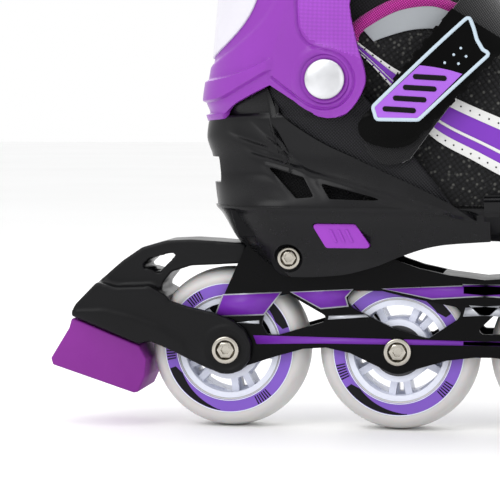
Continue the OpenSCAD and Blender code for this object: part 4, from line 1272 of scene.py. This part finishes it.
def patch(low, high, columns, rows, inset, relief=None):
    # a thin sheet on the outer side of the boot between two lines of equal length
    def place(u, v):
        p = ruled(low, high, u, v)
        return atSide(p[:, 0], p[:, 1], inset - (relief(u, v) if relief else 0), -1)
    return tidyMesh(gridMesh(columns, rows, place), fromForm)


def resampled(points, count):
    return along(smoothPath(points), np.linspace(0, 1, count))


def smoothCorners(points):
    # a closed outline with slightly rounded corners, evenly resampled
    ring = np.array(rounded(points, 1.2, 4))
    return along(np.vstack([ring, ring[:1]]), np.linspace(0, 1, 140))


def ribbon(path, width, inset):
    run = np.gradient(path, axis=0)
    run /= np.linalg.norm(run, axis=1)[:, None]
    away = np.stack([run[:, 1], -run[:, 0]], axis=-1) * width / 2
    return patch(path - away, path + away, len(path) * 2, 2, inset)


padLeft = resampled([(-48.6, 125.4), (-51.2, 128.6), (-51.2, 133), (-46.8, 138.6), (-40.4, 146.2),
                     (-27, 163), (-13.4, 180.2)], 160)
padRight = resampled([(-48.6, 125.4), (-44.6, 123.8), (-37.1, 122.6), (-30.6, 123.8), (-25, 128.4),
                      (-8, 146), (10.4, 165.6)], 160)
padRun = np.linspace(0, 1, 160)[:, None]
teeth = (0.45 * np.sign(np.sin(padRun * 2 * math.pi * 11))
         * np.clip((padRun - 0.25) * 8, 0, 1) * np.clip((0.93 - padRun) * 20, 0, 1))
padLeft, padRight = padLeft - teeth * strapAcross, padRight + teeth * strapAcross


def padRelief(u, v):
    # a low rim
    rim = ease((0.5 - np.abs(v - 0.5)) * 14)
    return -0.3 * (1 - rim)


padPiece = makePiece(patch(padLeft, padRight, 320, 40, strap["padInset"], relief=padRelief), "strapPad",
                     blackRubber,
                     strap["padThick"], bevel=0.25)
finishPiece(padPiece, "chassis", ["strap_pad"])

padInk = {"inset": strap["padInset"] - 0.08, "thick": 0.12}
fillLeft = resampled([(-44.6, 139.4), (-43.2, 135.4), (-35, 134.9), (-26.6, 135)], 60)
fillRight = resampled([(-26, 156.6), (-20, 155.8), (-14, 154.6), (-8.6, 153)], 60)
finishPiece(makePiece(patch(fillLeft, fillRight, 60, 60, padInk["inset"]), "strapFill",
                      strapPurple, padInk["thick"]), "chassis")
framePath = smoothCorners([(-6.4, 177), (-45.4, 139.6), (-43.9, 134.4), (-26.4, 134.2), (2.4, 161.4),
                           (-0.5, 163), (-3.0, 167.2), (-4.4, 172)])
finishPiece(makePiece(ribbon(framePath, 1.5, padInk["inset"] - 0.08), "strapFrame", paleEdge,
                      padInk["thick"]),
            "chassis")
slots = []
for x, z in ((-21.8, 151.6), (-25.9, 147.2), (-30, 142.8), (-34.3, 138.4)):
    left, right = ([(x + a, z + side * math.sqrt(max(0, 1.1**2 - max(0, abs(a) - 5.9)**2)) - 0.06 * a)
                    for a in np.linspace(-7, 7, 41)] for side in (-1, 1))
    slots.append(patch(np.array(left), np.array(right), 40, 3, padInk["inset"] - 0.16))
finishPiece(makePiece(joined(*slots), "strapSlots", blackMatte, padInk["thick"]), "chassis")
dots = []
for x, z in ((-9.4, 163.6), (-12.2, 160.9), (-7.2, 160.2), (-15.8, 157.6), (-10.2, 157.2)):
    p = Vector(atSide(np.array([x]), np.array([z]), strap["padInset"] - 0.05, -1)[0])
    dots.append(lathe([(0.01, 0.2), (0.55, 0.2), (0.55, -0.2), (0.01, -0.2)], p, (0, -1, 0.25), 16))
finishPiece(makePiece(joined(*dots), "strapDots", paleEdge), "chassis")

ringSpec = {"inset": -3.5, "thick": 1.7,
            "bars": ((2, 5, -12.8, 12.8), (11, 14, -12.8, 12.8), (4.9, 11.1, -12.8, -9.8),
                     (4.9, 11.1, 9.8, 12.8))}


def ringPart(a0, a1, b0, b1):
    def place(u, v):
        return strapPoint(a0 + (a1 - a0) * u, b0 + (b1 - b0) * v, ringSpec["inset"], 1)
    return tidyMesh(gridMesh(14, 14, place), fromForm)


ringPiece = makePiece(joined(*(ringPart(*bar) for bar in ringSpec["bars"])), "strapRing", blackSatin,
                      ringSpec["thick"], bevel=0.4)
finishPiece(ringPiece, "chassis", ["strap_ring"])
print("strap ready")

# size button

button = {"face": [(-72.1, 90.6), (-53.4, 90.6), (-46.4, 80.4), (-65.7, 80.4)], "outer": -33.6, "back": -24.2,
          "stem": [(0.01, 0), (1.6, 0), (1.6, 2.8), (0.01, 2.8)], "stemAt": (-59.5, -24.4, 85.5),
          "rib": [(-1.6, 88.3), (-0.4, 88.3), (2.2, 82.8), (1.0, 82.8)], "firstRib": -63, "ribPitch": 3.4}
buttonParts = [sidePrism(rounded(button["face"], 1.6), button["outer"], button["back"]),
               lathe(button["stem"], button["stemAt"], (0, 1, 0), 24)]
for k in range(3):
    x = button["firstRib"] + button["ribPitch"] * k
    rib = [(x + a, z) for a, z in button["rib"]]
    buttonParts.append(sidePrism(rounded(rib, 0.3), button["outer"] - 0.5, button["outer"] + 0.6))
finishPiece(makePiece(joined(*buttonParts), "sizeButton", buttonPurple, bevel=0.35), "button",
            ["size_button"])

# toe shell

toe = {"top": [(0.6, 102), (15, 102.4), (30, 103.6), (62, 107), (82, 113), (98, 120.5), (112, 123.5),
               (124, 124.5)],
       "base": [(0.6, 83.4), (12, 83.2), (24, 81.5), (34, 78), (44, 73), (56, 69.8), (72, 68.2), (88, 69.7),
                (100, 74.5), (112, 82), (122, 88)], "wall": 2.4, "columns": 150, "rows": 60,
       "web": [(34, 84), (46, 76), (58, 71.5), (72, 70), (86, 71.5), (98, 77), (108, 84)], "webIn": 16.4,
       "webOut": 20.8,
       "slot": [(45.5, 68.4), (78.5, 68.4), (78.5, 80.6), (45.5, 80.6)]}
toeTop = ringAngles(smoothPath(toe["top"], 5), 0)
toeTop = np.vstack([toeTop, [(0, 124)]])


def toePlace(side):
    def place(u, v):
        top = along(toeTop, u)
        angle = top[:, 0]
        x = onForm(angle, np.full(u.shape, 95.0), 0)[:, 0]
        base = np.array(toe["base"])
        lowest = np.interp(x, base[:, 0], base[:, 1], right=88)
        z = np.where(v < 0.45, lowest + (95 - lowest) * v / 0.45, 95 + (top[:, 1] - 95) * (v - 0.45) / 0.55)
        tuck = np.interp(z, [68, 75, 80, 87, 95], [24, 19.5, 13, 5, 0]) * np.clip(angle / 40, 0.25, 1)
        lip = -0.5 * np.exp(-((v - 0.965) / 0.02)**2) + 0.5 * np.exp(-((v - 0.9) / 0.016)**2)
        line = 0.35 * np.exp(-((z - 95.6) / 0.7)**2)
        return onForm(angle, z, tuck + lip + line, side)
    return place


toeParts = tidyMesh(joined(*(gridMesh(toe["columns"], toe["rows"], toePlace(side)) for side in (-1, 1))),
                    fromForm, 0.05)
toeShell = makePiece(toeParts, "toeShell", blackGloss, toe["wall"], bevel=0.3)
finishPiece(toeShell, "toe", ["front_shell"])


def toeSole(u, v):
    # the sole between the two skirts
    x, level = 2 + 116 * u, np.full(u.shape, 86.0)
    edge = angleOf(x, level, 7)
    p = onForm(edge, level, 7, -1) * (1 - v)[:, None] + onForm(edge, level, 7, 1) * v[:, None]
    p[:, 2] = 86.6
    return p


sole = makePiece(tidyMesh(gridMesh(60, 20, toeSole), lambda p: Vector((0, 0, -1))), "toeSole", blackGloss,
                 3.6, bevel=0.4)
finishPiece(sole, "toe")
for side, name in ((-1, "outer"), (1, "inner")):
    web = sidePrism(rounded(toe["web"], 1.2), side * toe["webIn"], side * toe["webOut"])
    webPiece = makePiece(web, f"{name}ToeWeb", blackGloss, bevel=0.5)
    slotCutter = makePiece(sidePrism(rounded(toe["slot"], 5.5), -60, 60), "cutter", blackGloss)
    cutOut(webPiece, [slotCutter])
    finishPiece(webPiece, "toe")

bumper = {"inset": -1.5, "thick": 1.3, "x": 97}


def bumperPlace(u, v):
    z = 92.4 + 9.2 * v
    edge = angleOf(np.full(u.shape, bumper["x"] + 1.5 * (2 * v - 1)**2), z, bumper["inset"])
    t = 2 * u - 1
    rib = 0.35 * np.sign(np.sin(u * 90)) * ease((0.5 - np.abs(v - 0.5)) * 12)
    return onForm(edge * np.abs(t), z, bumper["inset"] + 0.35 - rib, np.where(t < 0, -1, 1))


bumperPiece = makePiece(tidyMesh(gridMesh(180, 10, bumperPlace), fromForm, 0.02), "toeBumper", blackRubber,
                        bumper["thick"], bevel=0.25)
finishPiece(bumperPiece, "toe", ["toe_bumper"])
print("toe ready")

# heel brake

brake = {"armIn": 15.7, "armOut": 19.1, "voxel": 0.85,
         "fender": [(-103, 72), (-103, 80.6), (-117, 81.6), (-128, 82.2), (-139, 81.6), (-149.6, 78.5),
                    (-158.3, 72.6), (-168, 64.2), (-178, 53.8), (-180.1, 49.7), (-179.6, 48.4),
                    (-149.8, 36.6), (-145, 38.5), (-141, 47), (-140.8, 57), (-140.6, 62.6), (-136.5, 67.8),
                    (-127.8, 70.6)],
         "arm": [(-149.8, 37.2), (-144.6, 38), (-135, 34), (-126.4, 29.8), (-119, 26.4), (-111, 24.4),
                 (-104.5, 25.8), (-100.4, 31), (-99.8, 37.5), (-102.6, 43.6), (-108, 47.6), (-117, 51),
                 (-128, 53.4), (-135.1, 55.6), (-140, 58.2), (-148, 61), (-156, 56), (-160, 47)],
         "hole": [(-149.6, 70.0), (-146, 73.4), (-132.6, 77.2), (-142, 67.6)],
         "block": [(-136.5, 57.5), (-145, 62.2), (-153, 61.6), (-160, 61.2), (-168.4, 63.6), (-178, 53.8),
                   (-180.1, 49.7), (-179.6, 48.4), (-149.8, 36.6), (-145, 38.5), (-140, 46)],
         "lip": [(-179.9, 50.4), (-166, 51.4), (-153, 48.6), (-141, 44.6), (-130, 38), (-128, 31.5),
                 (-144.6, 38), (-149.8, 37)],
         "pad": [(-179.9, 47.6), (-181.2, 43), (-189.4, 29.7), (-188.6, 26.8), (-152.4, 15.1),
                 (-150.3, 15.5), (-147.4, 22), (-146.6, 30), (-149.9, 35.8)],
         "fenderHalf": 12.3, "lipProud": 0.7, "padHalf": 17.4, "boltHole": 4.05, "screwHole": 2.6,
         "screwWell": 5.2,
         "screw": (-166.5, 0, 42.6), "tilt": 21.5}
lipHalf = brake["armOut"] + brake["lipProud"]
brakeParts = [sidePrism(rounded(brake["fender"], 1.2), -brake["fenderHalf"], brake["fenderHalf"]),
              sidePrism(rounded(brake["block"], 1.2), -brake["armOut"], brake["armOut"]),
              sidePrism(rounded(brake["lip"], 1.0), -lipHalf, lipHalf)]
for side in (-1, 1):
    brakeParts.append(sidePrism(rounded(brake["arm"], 1.0), side * brake["armIn"], side * brake["armOut"]))
    brakeParts.append(lathe([(4.3, 0), (11.0, 0), (10.6, 1.3), (9.2, 1.7), (8.6, 0.9), (6.2, 0.6),
                             (4.3, 0.6)],
                            (axles[0].x, side * (brake["armOut"] - 0.9), wheelRadius), (0, side, 0), 48,
                            closed=True))
bracket = makePiece(joined(*brakeParts), "brakeBracket", blackSatin)
remesh = bracket.modifiers.new("remesh", "REMESH")
remesh.mode, remesh.voxel_size, remesh.use_smooth_shade = "VOXEL", brake["voxel"] * mm, True
applied(bracket)
tiltTurn = Vector((math.sin(math.radians(brake["tilt"])), 0, math.cos(math.radians(brake["tilt"]))))
screwAt = Vector(brake["screw"])
cutters = [makePiece(sidePrism(rounded(brake["hole"], 1.6), -30, 30), "cutter", blackSatin)]
for radius, low, high, at, axis in ((brake["boltHole"], -30, 30, (axles[0].x, 0, wheelRadius), (0, 1, 0)),
                                    (brake["screwHole"], -10, 40, screwAt, tiltTurn),
                                    (brake["screwWell"], 9, 40, screwAt, tiltTurn)):
    rod = lathe([(0.01, low), (radius, low), (radius, high), (0.01, high)], at, axis, 32)
    cutters.append(makePiece(rod, "cutter", blackSatin))
cutOut(bracket, cutters)
soften = bracket.modifiers.new("soften", "SMOOTH")
soften.factor, soften.iterations = 0.5, 6
applied(bracket)
finishPiece(bracket, "chassis", ["brake_bracket"])

padBlock = makePiece(sidePrism(rounded(brake["pad"], 1.1), -brake["padHalf"], brake["padHalf"]), "brakePad",
                     padPurple, bevel=0.9)
applied(padBlock)
padRod = lathe([(0.01, -31), (5, -31), (5, -11), (brake["screwHole"], -11), (brake["screwHole"], 10),
                (0.01, 10)],
               screwAt, tiltTurn, 32)
cutOut(padBlock, [makePiece(padRod, "cutter", padPurple)])
finishPiece(padBlock, "chassis", ["brake_pad"])
print("brake ready")

# buckle and ladder strap

buckle = {"z": 236, "base": (-71.6, -34.4, 10.3), "inset": -10.9, "thick": 6.6, "lever": (-75.6, -45.4, 8.3),
          "leverInset": -13.7, "leverThick": 2.3, "hinge": (-40, -46.4), "wellHalf": 5.7, "armHalf": 5,
          "wells": ([(-46, -60), (-26, -60), (-26, -43.3), (-46, -43.3)],
                    [(-70, -62), (-44, -62), (-44, -48.4), (-70, -48.4)]),
          "knuckle": [(1.56, -5), (2.9, -5), (2.9, 5), (1.56, 5)],
          "arm": [(-42.7, -46.6), (-38, -48.2), (-41, -52), (-46, -55.5), (-50, -55.5), (-50, -53.6),
                  (-46, -52.6)]}


def band(x0, x1, half, radius, count=60):
    # the lower and upper edge of an upright plate with rounded corners
    t = (1 - np.cos(np.linspace(0, math.pi, count))) / 2
    x = x0 + (x1 - x0) * t
    near = np.clip(radius - np.minimum(x - x0, x1 - x), 0, radius)
    drop = radius - np.sqrt(radius**2 - near**2)
    lower = np.stack([x, buckle["z"] - half + drop], axis=-1)
    return lower, np.stack([x, buckle["z"] + half - drop], axis=-1)


def flatPrism(outline, z0, z1):
    bm = sidePrism(outline, z0, z1)
    for v in bm.verts:
        v.co.y, v.co.z = v.co.z, v.co.y
    bmesh.ops.recalc_face_normals(bm, faces=bm.faces)
    return bm


def baseRelief(u, v):
    return -0.6 * np.exp(-((np.abs(v - 0.5) - 0.36) / 0.03)**2)


low, high = band(buckle["base"][0], buckle["base"][1], buckle["base"][2], 3)
basePiece = makePiece(patch(low, high, 70, 24, buckle["inset"], relief=baseRelief), "buckleBase", blackSatin,
                      buckle["thick"], bevel=0.5)
applied(basePiece)
z0, z1 = buckle["z"] - buckle["wellHalf"], buckle["z"] + buckle["wellHalf"]
wellCuts = [makePiece(flatPrism(well, z0, z1), "cutter", blackSatin) for well in buckle["wells"]]
cutOut(basePiece, wellCuts, "MANIFOLD")
finishPiece(basePiece, "cuff", ["buckle_base"])


def leverRelief(u, v):
    # finger ribs at the free end and a shallow dish
    middle = 0.5 - np.abs(v - 0.5)
    ribs = 0.35 * np.clip(np.sin(u * 62), -0.6, 0.6) * ease((0.42 - u) * 12) * ease(middle * 9)
    return ribs - 0.5 * np.exp(-((u - 0.66) / 0.16)**2) * ease(middle * 6)


low, high = band(buckle["lever"][0], buckle["lever"][1], buckle["lever"][2], 3.4)
hinge = (buckle["hinge"][0], buckle["hinge"][1], buckle["z"])
leverParts = [lathe(buckle["knuckle"], hinge, (0, 0, 1), 40, closed=True),
              flatPrism(buckle["arm"], buckle["z"] - buckle["armHalf"], buckle["z"] + buckle["armHalf"])]
finishPiece(makePiece(joined(*leverParts), "leverArm", purpleSatin, bevel=0.25), "lever")
leverPlate = makePiece(patch(low, high, 90, 30, buckle["leverInset"], relief=leverRelief), "buckleLever",
                       purpleSatin,
                       buckle["leverThick"], bevel=0.5)
finishPiece(leverPlate, "lever", ["buckle_lever"])

ladder = {"inset": -5.5, "thick": 1.2, "half": 6.8, "teeth": 0.65, "pitch": 3.4}
ladderEnds = [float(angleOf(x, buckle["z"], -6)) for x in (-34, -59)]
ladderArc = np.linspace(-ladderEnds[0], ladderEnds[1], 400)
ladderRun = onForm(np.abs(ladderArc), np.full(400, float(buckle["z"])), ladder["inset"])
ladderRun[:, 1] *= np.where(ladderArc < 0, -1, 1)
ladderLength = np.concatenate([[0], np.cumsum(np.linalg.norm(np.diff(ladderRun, axis=0), axis=1))])


def ladderPlace(u, v):
    run = u * ladderLength[-1]
    t = np.interp(run, ladderLength, ladderArc)
    half = ladder["half"] * np.sqrt(np.clip(1 - np.maximum(0, (u - 0.955) / 0.046)**2, 0.05, 1))
    saw = np.mod(run / ladder["pitch"], 1)
    tooth = np.clip(saw * 1.3, 0, 1) * (saw < 0.86)
    tooth = tooth * (np.abs(v - 0.5) < 0.33) * (run < ladderLength[-1] * 0.72)
    rim = 0.3 * (np.abs(v - 0.5) > 0.42)
    return onForm(np.abs(t), buckle["z"] + (2 * v - 1) * half,
                  ladder["inset"] - ladder["teeth"] * tooth - rim,
                  np.where(t < 0, -1, 1))


ladderPiece = makePiece(tidyMesh(gridMesh(420, 20, ladderPlace), fromForm), "ladderStrap", blackSatin,
                        ladder["thick"])
finishPiece(ladderPiece, "cuff", ["ladder_strap"])
print("buckle ready")
